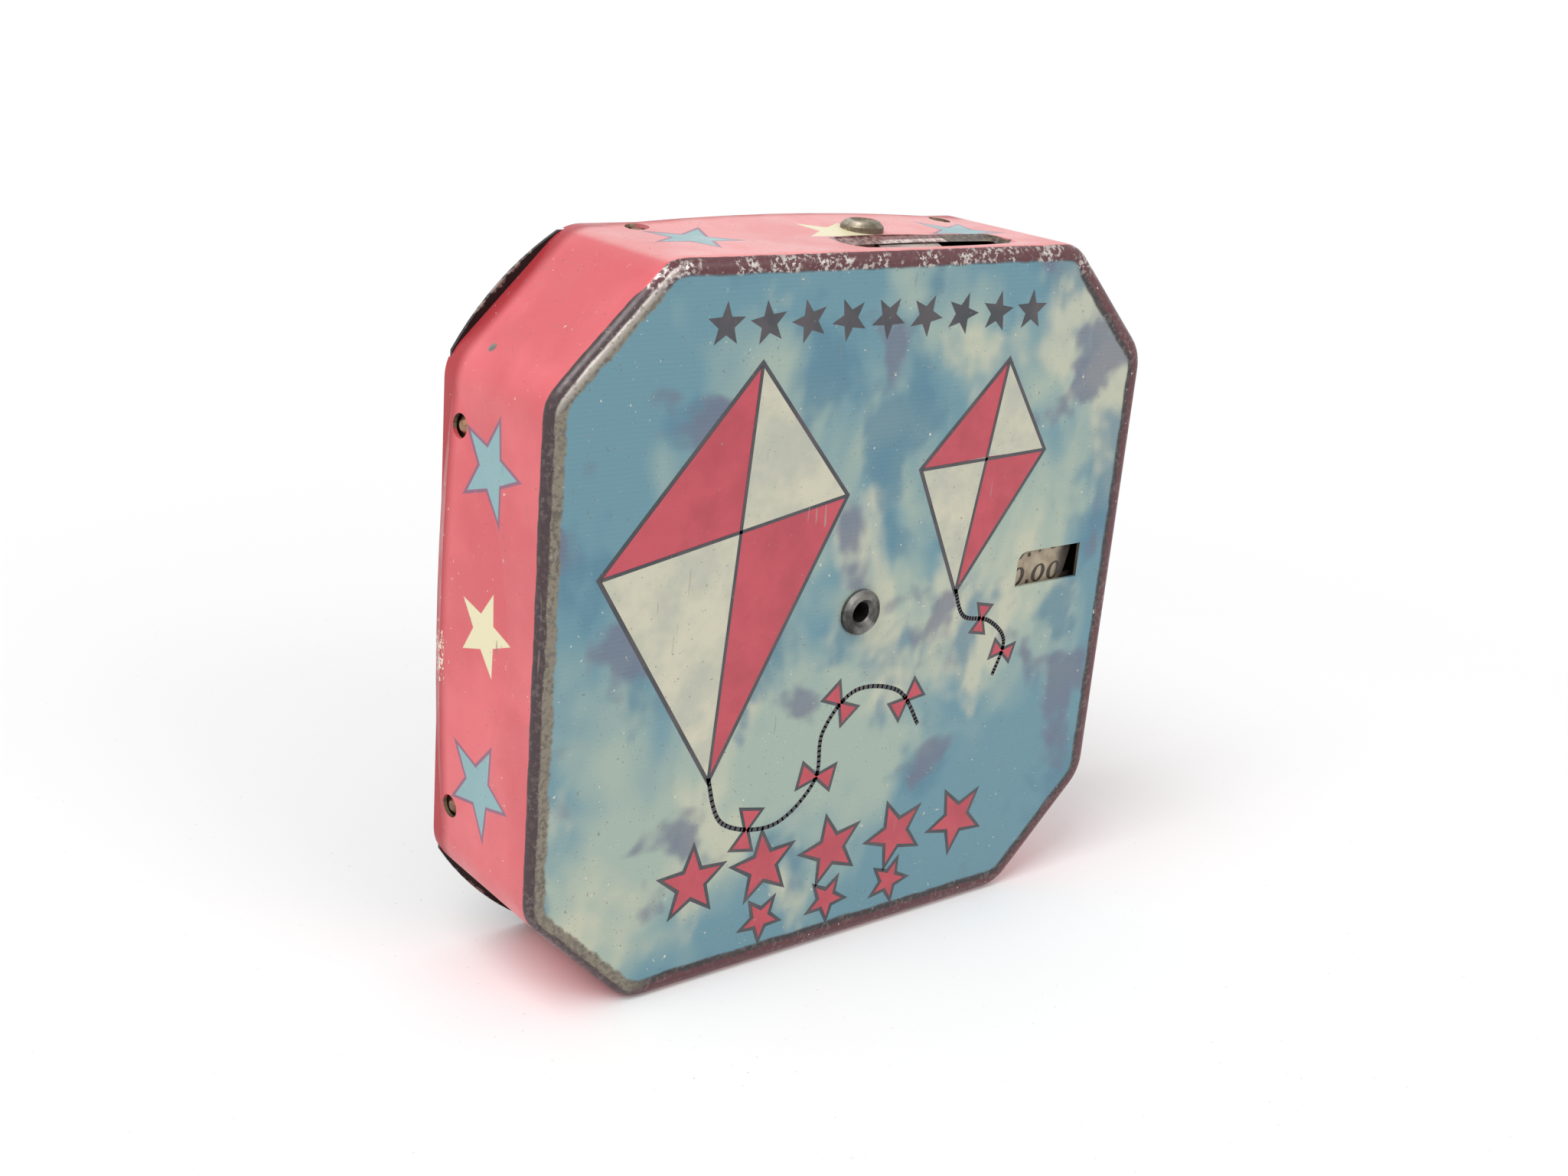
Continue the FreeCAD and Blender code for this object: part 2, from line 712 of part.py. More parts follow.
def bracket():
    """Folded bracket: a flange under the top, a cheek on each side of the coin, and the pin's ear."""
    front = slot_y + slot_half_width + mouth_back + sheet + 0.1
    behind_coin = slot_y + slot_half_width + 0.1
    back = bracket_back
    z0, z1 = ceiling_z - bracket_sheet, ceiling_z + belly
    left = coin_left - slot_end_play - cheek_gap - bracket_sheet
    right = coin_right + slot_end_play + cheek_gap
    px, pz = pivot
    edge = half_run(half_h) - 0.2
    behind_pad = pad_end_y + plate_gap / 2
    tongue_end = slot_right - pad_left - plate_gap
    pad_side = slot_right + pad_right + plate_gap
    flange = prism([
        (left, behind_coin), (tongue_end, behind_coin), (tongue_end, behind_pad), (pad_side, behind_pad),
        (pad_side, front), (edge, front), (edge, back), (left, back),
    ], "z", z0, z1)
    flange = flange.cut(Part.makeCylinder(rivet_shank + rivet_play, 4, V(rivet_right, rivet_y, z0 - 1)))
    bridge = prism([(right, ear_y), (edge, ear_y), (edge, front), (right, front)], "z", z0, z1)
    low = top_z - cheek_low
    left_cheek = prism([
        (front, z1), (front + cheek_back, z1), (front + cheek_back, z0 - cheek_drop),
        (slot_y - cheek_reach, z0 - cheek_drop), (slot_y - cheek_reach, low), (front, low),
    ], "x", left, left + bracket_sheet)
    arm_top = cheek_rest() + arm_gap
    right_cheek = prism([
        (ear_y, z1), (ear_y + bracket_sheet, z1), (ear_y + bracket_sheet, arm_top), (lever_y, arm_top),
        (lever_y, arm_top + arm_height), (slot_y - cheek_reach, low), (ear_y, low),
    ], "x", right, right + bracket_sheet)
    boss = lever_hub + ear_round
    ear = prism([
        (right, z1), (edge, z1), (px + boss, pz + ear_height), (px + boss, pz), (px - boss, pz),
        (right, arm_top + 1.0),
    ], "y", ear_y, ear_y + bracket_sheet)
    ear = ear.fuse(disc(boss, px, pz, ear_y, ear_y + bracket_sheet))
    ear = ear.cut(disc(pin_radius + rivet_play, px, pz, ear_y - 1, ear_y + bracket_sheet + 1))
    return flange.fuse([bridge, left_cheek, right_cheek, ear]).common(case_volume(sheet)).cut(pressed_lip())


def cheek_rest():
    """Height of the lever's upper edge where it meets the right cheek."""
    x = coin_right + slot_end_play + cheek_gap
    wire = lever_outline()
    hits = []
    for edge in wire.Edges:
        a, b = edge.Vertexes[0].Point, edge.Vertexes[-1].Point
        if edge.Curve.TypeId == "Part::GeomLine" and min(a.x, b.x) <= x <= max(a.x, b.x):
            hits.append(a.z + (b.z - a.z) * (x - a.x) / (b.x - a.x))
    return max(hits)


def top_rivet():
    """Tubular rivet through the top and the bracket, with a rolled open head."""
    proud, bore, head = rivet_proud, rivet_bore, rivet_head
    under = ceiling_z - bracket_sheet
    seat = top_z + max(wall_bow(rivet_right, rivet_y, half_h), 0.0)
    centre, up = V(rivet_right, rivet_y, 0), V(0, 0, 1)
    head_ring = turned([
        (bore, top_z), (bore, seat + 0.6 * proud), (bore + 0.5, seat + proud),
        (head - 0.4, seat + 0.9 * proud), (head, seat + 0.4 * proud), (head, top_z),
    ], centre, up)
    tail = turned([
        (bore, top_z + belly), (rivet_shank, top_z + belly), (rivet_shank, under),
        (rivet_shank + 0.7, under), (bore, under - 0.35),
    ], centre, up)
    return head_ring.cut(case_volume(0.0)).fuse(tail)


def chamfer_point(along, depth):
    """A point inside the upper left slanted wall: along it from its lower end, and in from its face."""
    k = math.sqrt(0.5)
    x0, z0 = -half_w, mid_z + cut_line - half_w
    return (x0 + along * k + depth * k, z0 + along * k - depth * k)


def check_spring():
    """Spring strip on the slanted wall: a wide base plate, and a finger to a tooth's steep face."""
    depth = sheet + check_sheet / 2
    base_start = chamfer_point(check_along, depth)
    base_end = chamfer_point(check_along + check_width, depth)
    base = ribbon([base_start, base_end], check_sheet, "y", wheel_y, check_stake_y + check_base_end)
    stake = stake_axis()
    base = base.cut(peg(small_rivet, stake[0] - stake[1] * 2, stake[1], 4))
    steep = pawl_nose()[2] - lost_motion * pitch + check_tooth * pitch + check_lead
    reach = root_radius + 0.5 * tooth_depth
    tip = (reach * math.cos(math.radians(steep)), axle_z + reach * math.sin(math.radians(steep)))
    away = math.radians(steep + 90)
    knee = (tip[0] + knee_along * math.cos(away) + knee_out * math.cos(math.radians(steep)),
            tip[1] + knee_along * math.sin(away) + knee_out * math.sin(math.radians(steep)))
    turn = chamfer_point(check_along + bend_along, depth + bend_in)
    finger = ribbon([base_start, turn, knee, tip], check_sheet, "y", wheel_y - 0.1, bush_y + 0.1)
    return base.fuse(finger).removeSplitter()


def stake_axis():
    """The check spring's stake: a point on the slanted wall's face and the outward direction."""
    k = math.sqrt(0.5)
    x, z = chamfer_point(check_stake_along, 0)
    return V(x, check_stake_y, z), V(-k, 0, k)


def check_rivet():
    """Stake that holds the check spring, dimpled flat outside."""
    point, out = stake_axis()
    inside = point - out * (sheet + check_sheet)
    shank = peg(small_rivet, inside, out, sheet + check_sheet)
    tail = peg(small_rivet + small_lip, inside - out * small_head, out, small_head)
    return shank.fuse(tail)


def cover_plate(low, high, grow):
    """Flat plate with straight lower side, bowed other sides and round lobes at the corners."""
    a = half_w - sheet - cover_gap + grow
    b = half_h - sheet - cover_gap + grow
    lobe = cut_line / math.sqrt(2) + lobe_proud + grow
    k = math.sqrt(0.5)
    corners = []
    for sx, sz in ((1, -1), (1, 1), (-1, 1), (-1, -1)):
        side = V(sx * a, low, mid_z + sz * (cut_line - a))
        flat = V(sx * (cut_line - b), low, mid_z + sz * b)
        tip = V(sx * lobe * k, low, mid_z + sz * lobe * k)
        corners.append((flat, tip, side) if sx * sz < 0 else (side, tip, flat))
    bow = edge_bow - 0.05
    edges = []
    for i, (start, tip, end) in enumerate(corners):
        edges.append(Part.Arc(start, tip, end).toShape())
        after = corners[(i + 1) % 4][0]
        middle = (end + after) * 0.5
        out = V(middle.x, 0, middle.z - mid_z).normalize()
        if i == 3:
            edges.append(Part.LineSegment(end, after).toShape())
        else:
            edges.append(Part.Arc(end, middle + out * bow, after).toShape())
    return Part.Face(Part.Wire(edges)).extrude(V(0, high - low, 0))


def back_cover():
    """Pressed cover plate, flush with the back edge, its corners lying on the slanted walls."""
    plate = cover_plate(cover_y, back_y, 0.0)
    for x, z in hook_rivet_places():
        plate = plate.cut(peg(small_rivet, V(x, cover_y - 1, z), V(0, 1, 0), 3))
    return plate


def snap_strips():
    """Four spring strips behind the straight walls, each with two dimples that stand in the snap holes."""
    gap = sheet + cover_gap
    start = cover_y - strip_depth
    strips = []
    for turn, reach in ((0, half_h), (90, half_w), (180, half_h), (270, half_w)):
        z = reach - gap
        cap = cover_gap + dimple_reach
        if turn != 180:
            cap += max(wall_bow(snap_spacing / 2, snap_y, reach), 0.0)
        leg = prism([(start, z - strip_sheet), (start, z), (cover_y, z), (cover_y, z - strip_foot),
                     (cover_y - strip_sheet, z - strip_foot), (cover_y - strip_sheet, z - strip_sheet)],
                    "x", -strip_length / 2, strip_length / 2)
        for s in (-1, 1):
            up = V(0, 0, 1)
            foot = V(s * snap_spacing / 2, snap_y, z)
            leg = leg.fuse([
                peg(dimple_radius, foot - up * (strip_sheet / 2), up, strip_sheet / 2),
                Part.makeLoft([
                    ring(dimple_radius, foot, up), ring(0.45 * dimple_radius, foot + up * cap, up),
                ], True, True),
            ])
        leg.rotate(V(0, 0, 0), V(0, 1, 0), turn)
        leg.translate(V(0, 0, mid_z))
        strips.append(leg)
    return Part.makeCompound(strips)


def hook_rivet_places():
    """The two rivets in the lock hook's foot."""
    x = -(lock_radius + hook_gap + hook_foot * hook_rivet_share)
    return [(x, axle_z - hook_width / 4), (x, axle_z + hook_width / 4)]


def lock_hook():
    """Strip from the cover to the lock disc, with a toe that stands behind the disc's front."""
    toe_y = (bush_y + lock_y) / 2
    neck = -(lock_radius + hook_gap + hook_sheet / 2)
    foot_y = cover_y - hook_sheet / 2
    hook = ribbon([
        (-(lock_radius - hook_reach), toe_y), (neck, toe_y), (neck, foot_y), (neck - hook_foot, foot_y),
    ], hook_sheet, "z", axle_z - hook_width / 2, axle_z + hook_width / 2)
    for x, z in hook_rivet_places():
        hook = hook.cut(peg(small_rivet, V(x, cover_y - hook_sheet - 1, z), V(0, 1, 0), 3))
    return hook


def hook_rivets():
    """Rivets that hold the lock hook to the cover."""
    rivets = []
    for x, z in hook_rivet_places():
        inside = V(x, cover_y - hook_sheet, z)
        forward = V(0, 1, 0)
        shank = peg(small_rivet, inside, forward, hook_sheet + sheet)
        head = peg(small_rivet + small_lip, inside - forward * small_head, forward, small_head)
        rivets.append(shank.fuse(head))
    return Part.makeCompound(rivets)


PIECES = {
    "front_case": front_case,
    "centre_eyelet": centre_eyelet,
    "spacing_washer": spacing_washer,
    "end_washer": end_washer,
    "register_wheel": register_wheel,
    "dial_disc": dial_disc,
    "hub_bush": hub_bush,
    "lock_disc": lock_disc,
    "hub_rivets": hub_rivets,
    "mechanism_bracket": bracket,
    "top_rivet": top_rivet,
    "lever_pin": lever_pin,
    "coin_lever": coin_lever,
    "lever_bush": lever_bush,
    "drive_pawl": drive_pawl,
    "pawl_rivet": pawl_rivet,
    "return_spring": return_spring,
    "check_spring": check_spring,
    "check_rivet": check_rivet,
    "back_cover": back_cover,
    "snap_strips": snap_strips,
    "lock_hook": lock_hook,
    "hook_rivets": hook_rivets,
}

os.makedirs("parts", exist_ok=True)
for name, make in PIECES.items():
    shape = make()
    box = shape.BoundBox
    print(
        name, len(shape.Solids), shape.isValid(), round(shape.Volume, 3),
        [round(v, 2) for v in (box.XMin, box.XMax, box.YMin, box.YMax, box.ZMin, box.ZMax)],
    )
    shape.exportStep("parts/" + name + ".step")
print("lever pin at", [round(v, 3) for v in pivot])
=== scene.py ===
import math

import bmesh
import bpy
from mathutils import Matrix, Vector


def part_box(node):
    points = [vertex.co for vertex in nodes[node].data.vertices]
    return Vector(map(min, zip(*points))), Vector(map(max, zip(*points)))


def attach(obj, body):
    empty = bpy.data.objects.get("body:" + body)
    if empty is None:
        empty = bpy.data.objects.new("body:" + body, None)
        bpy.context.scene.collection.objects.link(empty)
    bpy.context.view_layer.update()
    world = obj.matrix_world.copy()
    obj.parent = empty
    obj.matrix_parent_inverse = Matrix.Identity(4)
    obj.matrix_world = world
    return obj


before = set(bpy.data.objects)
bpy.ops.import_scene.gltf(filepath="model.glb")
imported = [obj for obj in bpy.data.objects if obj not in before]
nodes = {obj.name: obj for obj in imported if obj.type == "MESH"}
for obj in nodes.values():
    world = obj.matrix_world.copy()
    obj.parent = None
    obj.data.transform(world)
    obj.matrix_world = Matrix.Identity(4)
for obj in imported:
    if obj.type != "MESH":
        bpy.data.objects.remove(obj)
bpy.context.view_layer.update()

# lengths are in millimetres where nothing else is said, and MM turns them into metres
MM = 0.001

# the case, as in the part's source
FRONT_Y = -8.25
MID_Y = 0.35
MID_Z = 33.85
HALF_W = 34.15
HALF_H = 33.85
CUT_LINE = 57.1
AXLE_Z = 34.35
ROLL_Y = 7.15
SLOT_X = 7.4
SLOT_Y = -3.75
SLOT_HALF = 9.85
SLOT_REAR = 2.56
DIAL_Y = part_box("dial_disc")[0][1] / MM
DIAL_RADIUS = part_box("dial_disc")[1][0] / MM


def srgb(r, g, b):
    """A colour given as 0 to 255 display values, as the linear numbers that a shader takes."""
    out = []
    for value in (r, g, b):
        share = value / 255
        out.append(share / 12.92 if share <= 0.04045 else ((share + 0.055) / 1.055) ** 2.4)
    return (out[0], out[1], out[2], 1.0)


# the face's ground
SKY_TEAL = srgb(92, 133, 146)
SKY_MIDDLE = srgb(149, 165, 153)
SKY_LIGHT = srgb(182, 182, 160)
SKY_DEEP = srgb(70, 114, 134)
SKY_DUSK = srgb(94, 98, 118)
SKY_LINES = srgb(205, 212, 205)
LINE_PITCH = 0.42
BORDER = 9.0
# its pale middle: a slanting band through a point below the middle, and where it ends and is full
MIDDLE_SLOPE = 0.8
MIDDLE_DROP = 6.0
MIDDLE_END = 34.0
MIDDLE_FULL = 6.0

# the walls
PINK_DEEP = srgb(203, 84, 91)
PINK_LIGHT = srgb(219, 100, 106)
# painted light: the top wall tinted paler, as if lit from above
PINK_TOP_LIT = srgb(228, 176, 172)
PINK_STAIN = srgb(196, 84, 88)
# darker red at the back edge: partly the paint's own red, partly painted shade where the wall rolls inwards
REAR_RED_AND_SHADE = srgb(162, 50, 56)
REAR_BORDER = (ROLL_Y - 0.6, ROLL_Y + 1.2)
CHIP = srgb(222, 208, 190)
CHIP_PLACE = (7.6, 30.4)

# the stars on the walls: (along the wall, from front to back), radius, turn in degrees
UPRIGHT_BLUE = (((15.2, 0.55), 4.3, 56.0), ((-13.9, 0.95), 4.4, 48.0))
UPRIGHT_CREAM = ((0.9, 0.3), 4.0, 55.0)
LEVEL_BLUE = (((-15.5, 0.3), 4.0, 50.0), ((15.4, 0.3), 4.0, 50.0))
LEVEL_CREAM = ((0.2, 0.0), 4.2, 52.0)
STAR_BLUE = srgb(128, 166, 170)
STAR_CREAM = srgb(222, 214, 176)
STAR_OUTLINE = srgb(112, 84, 112)
STAR_LINE = 0.85
STAR_SIDES = 5
STAR_NOTCH = 0.42

# the rim: its outer and inner line, on the left and where it is maroon
RIM_OUTER = srgb(58, 42, 46)
RIM_OUTER_MAROON = srgb(84, 40, 46)
RIM_OUTER_GRIT = srgb(104, 84, 80)
RIM_INNER = srgb(122, 114, 98)
RIM_INNER_MAROON = srgb(40, 34, 38)
RIM_INNER_GRIT = srgb(70, 60, 56)
# the soft borders of its maroon part, across and above the middle
RIM_RIGHT = (-20.0, 12.0)
RIM_LOW = (-29.0, -31.5)
RIM_LOW_LEFT = (-24.0, -20.0)
RIM_HIGH = (30.5, 32.0)
# round the rim, on the left and where it is maroon: its borders, the step between its lines, its raggedness
RIM_TO_WALL = (0.90, 0.42)
RIM_TO_FACE = (1.50, 1.95)
RIM_STEP = (-0.60, -1.45)
RIM_RAG = (0.6, 0.15)
# the line rubbed bare: where the upper left side begins, and the line's place and half width round the rim
RUBBED_SIDE = (54.6, 56.6)
RUBBED_AT = 0.90
RUBBED_HALF = (0.50, 0.22)

# wear
SPECK = srgb(104, 88, 74)
WORN_TIN = srgb(126, 118, 108)
WORN_INK = srgb(150, 142, 132)
BARE_TIN = srgb(190, 183, 177)
INSIDE_DARK = srgb(150, 140, 118)
INSIDE_LIGHT = srgb(186, 178, 158)

# the slot's mouth: where the grit turns from the dark to the light colour, and the two colours
# the rust behind the mouth is partly painted shade, on the slope that faces the front below the rear edge
MOUTH_RUST_AND_SHADE = (0.35, 0.62, srgb(78, 44, 44), srgb(134, 90, 86))
MOUTH_BROWN = (0.42, 0.60, srgb(84, 52, 52), srgb(150, 118, 112))
MOUTH_BARE = (0.38, 0.60, srgb(134, 106, 102), srgb(214, 196, 190))
MOUTH_DARK = (0.40, 0.62, srgb(52, 32, 33), srgb(102, 92, 72))
# how much nearer to the slot its bowed rear edge is at the ends, as a share
MOUTH_BOW = 0.2
# the soft borders of its parts, from the slot's middle, and of its scuffed part from the rear edge
MOUTH_FRONT = (-1.35, -1.15)
MOUTH_LEFT = (-3.9, -4.15)
MOUTH_RIGHT = (3.55, 3.75)
MOUTH_SCUFF = (0.72, 0.88)

# the dial
DIAL_LIGHT = srgb(176, 162, 138)
DIAL_DARK = srgb(138, 122, 102)
DIAL_FOX = srgb(140, 112, 84)
# painted shade towards the dial's rim, where it lies in the shadow behind the face
DIAL_RIM_SHADE = srgb(44, 36, 32)
DIGIT_DARK = srgb(46, 38, 32)
DIGIT_LIGHT = srgb(66, 54, 46)

# the cover
ENAMEL_DARK = srgb(26, 22, 23)
ENAMEL_LIGHT = srgb(38, 33, 33)
ENAMEL_WORN = srgb(150, 142, 134)


class Nodes:
    """A node tree in the making. A call adds nodes and gives back their output."""

    def __init__(self, tree):
        self.tree = tree

    def new(self, kind, **settings):
        """A new node with its settings. This call gives back the node itself."""
        node = self.tree.nodes.new("ShaderNode" + kind)
        for name, value in settings.items():
            setattr(node, name, value)
        return node

    def put(self, socket, value):
        """Links an output to a socket, or sets the socket to a plain value."""
        if isinstance(value, bpy.types.NodeSocket):
            self.tree.links.new(value, socket)
        else:
            socket.default_value = value

    def math(self, operation, a, b=0.0, c=0.0, clamp=False):
        node = self.new("Math", operation=operation, use_clamp=clamp)
        for i, value in enumerate((a, b, c)):
            self.put(node.inputs[i], value)
        return node.outputs[0]

    def add(self, a, b):
        return self.math("ADD", a, b)

    def subtract(self, a, b):
        return self.math("SUBTRACT", a, b)

    def multiply(self, a, b):
        return self.math("MULTIPLY", a, b)

    def maximum(self, a, b):
        return self.math("MAXIMUM", a, b)

    def absolute(self, a):
        return self.math("ABSOLUTE", a)

    def length(self, a, b):
        """The length of the arrow (a, b)."""
        return self.math("SQRT", self.add(self.multiply(a, a), self.multiply(b, b)))

    def backdrop(self):
        """1 for rays from the camera, and for those that see the surface in a gloss or through glass."""
        rays = self.new("LightPath").outputs
        by_object = self.maximum(rays["Is Glossy Ray"], rays["Is Transmission Ray"])
        return self.maximum(rays["Is Camera Ray"], by_object)

    def mix_shaders(self, share, a, b):
        node = self.new("MixShader")
        for i, value in enumerate((share, a, b)):
            self.put(node.inputs[i], value)
        return node.outputs[0]


class Paint(Nodes):
    """A material in the making. It takes places at rest, so that it moves with its piece."""

    def __init__(self, name):
        self.mat = bpy.data.materials.new(name)
        self.mat.use_nodes = True
        super().__init__(self.mat.node_tree)
        self.tree.nodes.clear()
        self.shader = self.new("BsdfPrincipled")
        self.surface = self.new("OutputMaterial").inputs[0]
        self.put(self.surface, self.shader.outputs[0])
        self.place = self.new("TexCoord").outputs["Object"]
        self.split = None

    def set(self, **values):
        """Sets the shader's own inputs, by their names in small letters."""
        for key, value in values.items():
            self.put(self.shader.inputs[key.replace("_", " ").title().replace("Ior", "IOR")], value)

    def xyz(self):
        """The place in millimetres, as three outputs."""
        if self.split is None:
            scale = self.new("VectorMath", operation="SCALE")
            self.put(scale.inputs[0], self.place)
            scale.inputs["Scale"].default_value = 1 / MM
            parts = self.new("SeparateXYZ")
            self.put(parts.inputs[0], scale.outputs[0])
            self.split = [parts.outputs[i] for i in range(3)]
        return self.split

    def up(self):
        """The height above the case's middle."""
        return self.subtract(self.xyz()[2], MID_Z)

    def ramp(self, value, low, high, to_low=0.0, to_high=1.0, smooth=True):
        """0 to 1 as value goes from low to high, softly unless smooth is off."""
        node = self.new("MapRange", interpolation_type="SMOOTHSTEP" if smooth else "LINEAR")
        for i, given in enumerate((value, low, high, to_low, to_high)):
            self.put(node.inputs[i], given)
        return node.outputs[0]

    def mix(self, share, a, b):
        """Two colours mixed. The node's sockets 6 and 7 are its colours, and output 2 is their mix."""
        node = self.new("Mix", data_type="RGBA")
        self.put(node.inputs[0], share)
        self.put(node.inputs[6], a)
        self.put(node.inputs[7], b)
        return node.outputs[2]

    def tint(self, ground, colour, mask, strength):
        """The ground with a colour over it where the mask is 1, as strongly as strength says."""
        return self.mix(self.multiply(mask, strength), ground, colour)

    def blend(self, share, a, b):
        """Two numbers mixed."""
        node = self.new("Mix")
        self.put(node.inputs[0], share)
        self.put(node.inputs[2], a)
        self.put(node.inputs[3], b)
        return node.outputs[0]

    def noise(self, size, detail=2.0, rough=0.5, stretch=(1, 1, 1), shift=(0, 0, 0), warp=0.0):
        """Noise with marks about size across. A shift of its own makes it differ from the other noises."""
        spread = self.new("Mapping")
        self.put(spread.inputs[0], self.place)
        spread.inputs["Location"].default_value = [s * MM for s in shift]
        spread.inputs["Scale"].default_value = [1 / s for s in stretch]
        node = self.new("TexNoise")
        self.put(node.inputs["Vector"], spread.outputs[0])
        node.inputs["Scale"].default_value = 1 / (size * MM)
        node.inputs["Detail"].default_value = detail
        node.inputs["Roughness"].default_value = rough
        node.inputs["Distortion"].default_value = warp
        return node.outputs["Fac"]

    def spots(self, size, threshold, soft=0.05, detail=1.0, **more):
        """Marks where the noise is above a threshold."""
        return self.ramp(self.noise(size, detail, **more), threshold, threshold + soft)

    def bump(self, height, depth, strength=0.5):
        node = self.new("Bump")
        node.inputs["Strength"].default_value = strength
        node.inputs["Distance"].default_value = depth * MM
        self.put(node.inputs["Height"], height)
        self.put(self.shader.inputs["Normal"], node.outputs[0])

    def wear(self):
        """Where print has gone from the tin: fine scratches and pinholes, the same in ground and ink."""
        area = self.ramp(self.noise(size=13.0, detail=1.0, shift=(70, 3, 4)), 0.46, 0.62)
        scratches = self.spots(0.55, 0.70, 0.03, 2.0, stretch=(1, 1, 9), shift=(7, 0, 3))
        holes = self.spots(0.40, 0.735, 0.02, 2.0, shift=(31, 4, 8))
        return self.maximum(self.multiply(scratches, area), self.multiply(holes, 0.7))

    def specks(self):
        """Small rust specks."""
        return self.spots(0.30, 0.735, 0.03, 1.0, shift=(11, 3, 71))

    def print_gloss(self):
        """The roughness of printed tin."""
        return self.ramp(self.noise(5.0, 4.0, 0.6, shift=(8, 8, 8)), 0.3, 0.7, 0.24, 0.42)


def octagon_depth(p):
    """How far inside the straight outline of the case a place is."""
    soft = 1.0
    across = p.absolute(p.xyz()[0])
    up = p.absolute(p.up())
    sides = p.math("SMOOTH_MIN", p.subtract(HALF_W, across), p.subtract(HALF_H, up), soft)
    corner = p.multiply(p.subtract(CUT_LINE, p.add(across, up)), math.sqrt(0.5))
    return p.math("SMOOTH_MIN", sides, corner, soft)


def star_group():
    """A node group: 1 inside a five-pointed star and 0 outside, with Turn in radians."""
    tree = bpy.data.node_groups.new("five_point_star", "ShaderNodeTree")
    for name in ("U", "V", "Radius", "Turn"):
        tree.interface.new_socket(name=name, in_out="INPUT", socket_type="NodeSocketFloat")
    tree.interface.new_socket(name="Inside", in_out="OUTPUT", socket_type="NodeSocketFloat")
    g = Nodes(tree)
    source = tree.nodes.new("NodeGroupInput")
    sink = tree.nodes.new("NodeGroupOutput")
    u, v, radius, turn = (source.outputs[i] for i in range(4))

    # the star folded into half of one of its points: how far along the point and aside from it a place is
    sector = 2 * math.pi / STAR_SIDES
    angle = g.subtract(g.math("ARCTAN2", v, u), turn)
    in_sector = g.math("FLOORED_MODULO", g.add(angle, sector / 2), sector)
    folded = g.absolute(g.subtract(in_sector, sector / 2))
    reach = g.length(u, v)
    along = g.multiply(reach, g.math("COSINE", folded))
    aside = g.multiply(reach, g.math("SINE", folded))

    # how far inside the edge, which runs from the tip to the notch
    edge_along = 1 - STAR_NOTCH * math.cos(sector / 2)
    edge_aside = STAR_NOTCH * math.sin(sector / 2)
    size = math.hypot(edge_along, edge_aside)
    from_tip = g.multiply(g.subtract(radius, along), edge_aside / size)
    distance = g.subtract(from_tip, g.multiply(aside, edge_along / size))
    sharpness = 12.0
    inside = g.math("MULTIPLY_ADD", distance, sharpness, 0.5, clamp=True)
    g.put(sink.inputs[0], inside)
    return tree


STAR = star_group()


def star(p, u, v, centre, radius, turn):
    """How much a place lies inside a printed star."""
    node = p.new("Group", node_tree=STAR)
    values = (p.subtract(u, centre[0]), p.subtract(v, centre[1]), radius, math.radians(turn))
    for i, value in enumerate(values):
        p.put(node.inputs[i], value)
    return node.outputs[0]


def wall_stars(p, along, y, wall, blues, cream):
    """One wall's stars: how much a place lies in the blue ones, in their outlines and in the cream one."""
    blue = [star(p, along, y, centre, radius, turn) for centre, radius, turn in blues]
    line = [star(p, along, y, centre, radius + STAR_LINE, turn) for centre, radius, turn in blues]
    parts = (p.maximum(*blue), p.maximum(*line), star(p, along, y, *cream))
    return [p.multiply(part, wall) for part in parts]


def mouth_place(p, v, u):
    """1 on the slot's pressed mouth, and how far in front of its bowed rear edge a place is."""
    bow = p.multiply(u, p.multiply(u, MOUTH_BOW / SLOT_HALF ** 2))
    to_rear = p.subtract(p.multiply(p.subtract(1.0, bow), SLOT_REAR), v)
    ends = p.ramp(p.absolute(u), SLOT_HALF, SLOT_HALF - 0.15)
    top = 2 * HALF_H
    high = p.ramp(p.xyz()[2], top - 2.0, top - 1.5)
    behind_front = p.multiply(p.multiply(ends, high), p.ramp(v, *MOUTH_FRONT))
    return p.multiply(behind_front, p.ramp(to_rear, -0.10, 0.0)), to_rear


def slot_wear_and_shade(p, color, metal):
    """The slot's mouth: rusty behind, with painted shade there too, scuffed bare in front, brown on the
    left and dark on the right.
    """
    x, y, _ = p.xyz()
    u = p.subtract(x, SLOT_X)
    v = p.subtract(y, SLOT_Y)
    inside, to_rear = mouth_place(p, v, u)
    grit = p.noise(0.5, 4.0, 0.7, shift=(3, 44, 6))
    mouth_colours_and_shade = (MOUTH_RUST_AND_SHADE, MOUTH_BROWN, MOUTH_BARE, MOUTH_DARK)
    mixed = [p.mix(p.ramp(grit, low, high), one, other) for low, high, one, other in mouth_colours_and_shade]
    # the rust colour here is partly painted shade of the slope below the rear edge
    rust, brown, bare, dark = mixed
    left = p.ramp(u, *MOUTH_LEFT)
    right = p.ramp(u, *MOUTH_RIGHT)
    front = p.ramp(to_rear, *MOUTH_SCUFF)
    ground = p.mix(left, p.mix(right, p.mix(front, rust, bare), dark), brown)
    shine = p.multiply(p.multiply(front, inside), p.subtract(1.0, p.maximum(left, right)))
    return p.mix(inside, color, ground), p.maximum(metal, p.multiply(shine, 0.35))


def wall_chips(p):
    """Where paint has chipped off the left wall's back edge."""
    x, y, z = p.xyz()
    off_y = p.subtract(y, CHIP_PLACE[0])
    off_z = p.multiply(p.subtract(z, CHIP_PLACE[1]), 0.55)
    near = p.multiply(p.ramp(p.length(off_y, off_z), 2.4, 0.4), p.math("LESS_THAN", x, 0.0))
    flakes = p.noise(0.55, 4.0, 0.7, shift=(12, 9, 77))
    return p.ramp(p.add(flakes, p.multiply(near, 0.20)), 0.68, 0.72)


def clouds(p, size, shift, stretch=(1, 1, 1)):
    """Soft patches about size across."""
    return p.noise(size, detail=3.0, rough=0.55, stretch=stretch, shift=shift, warp=0.2)


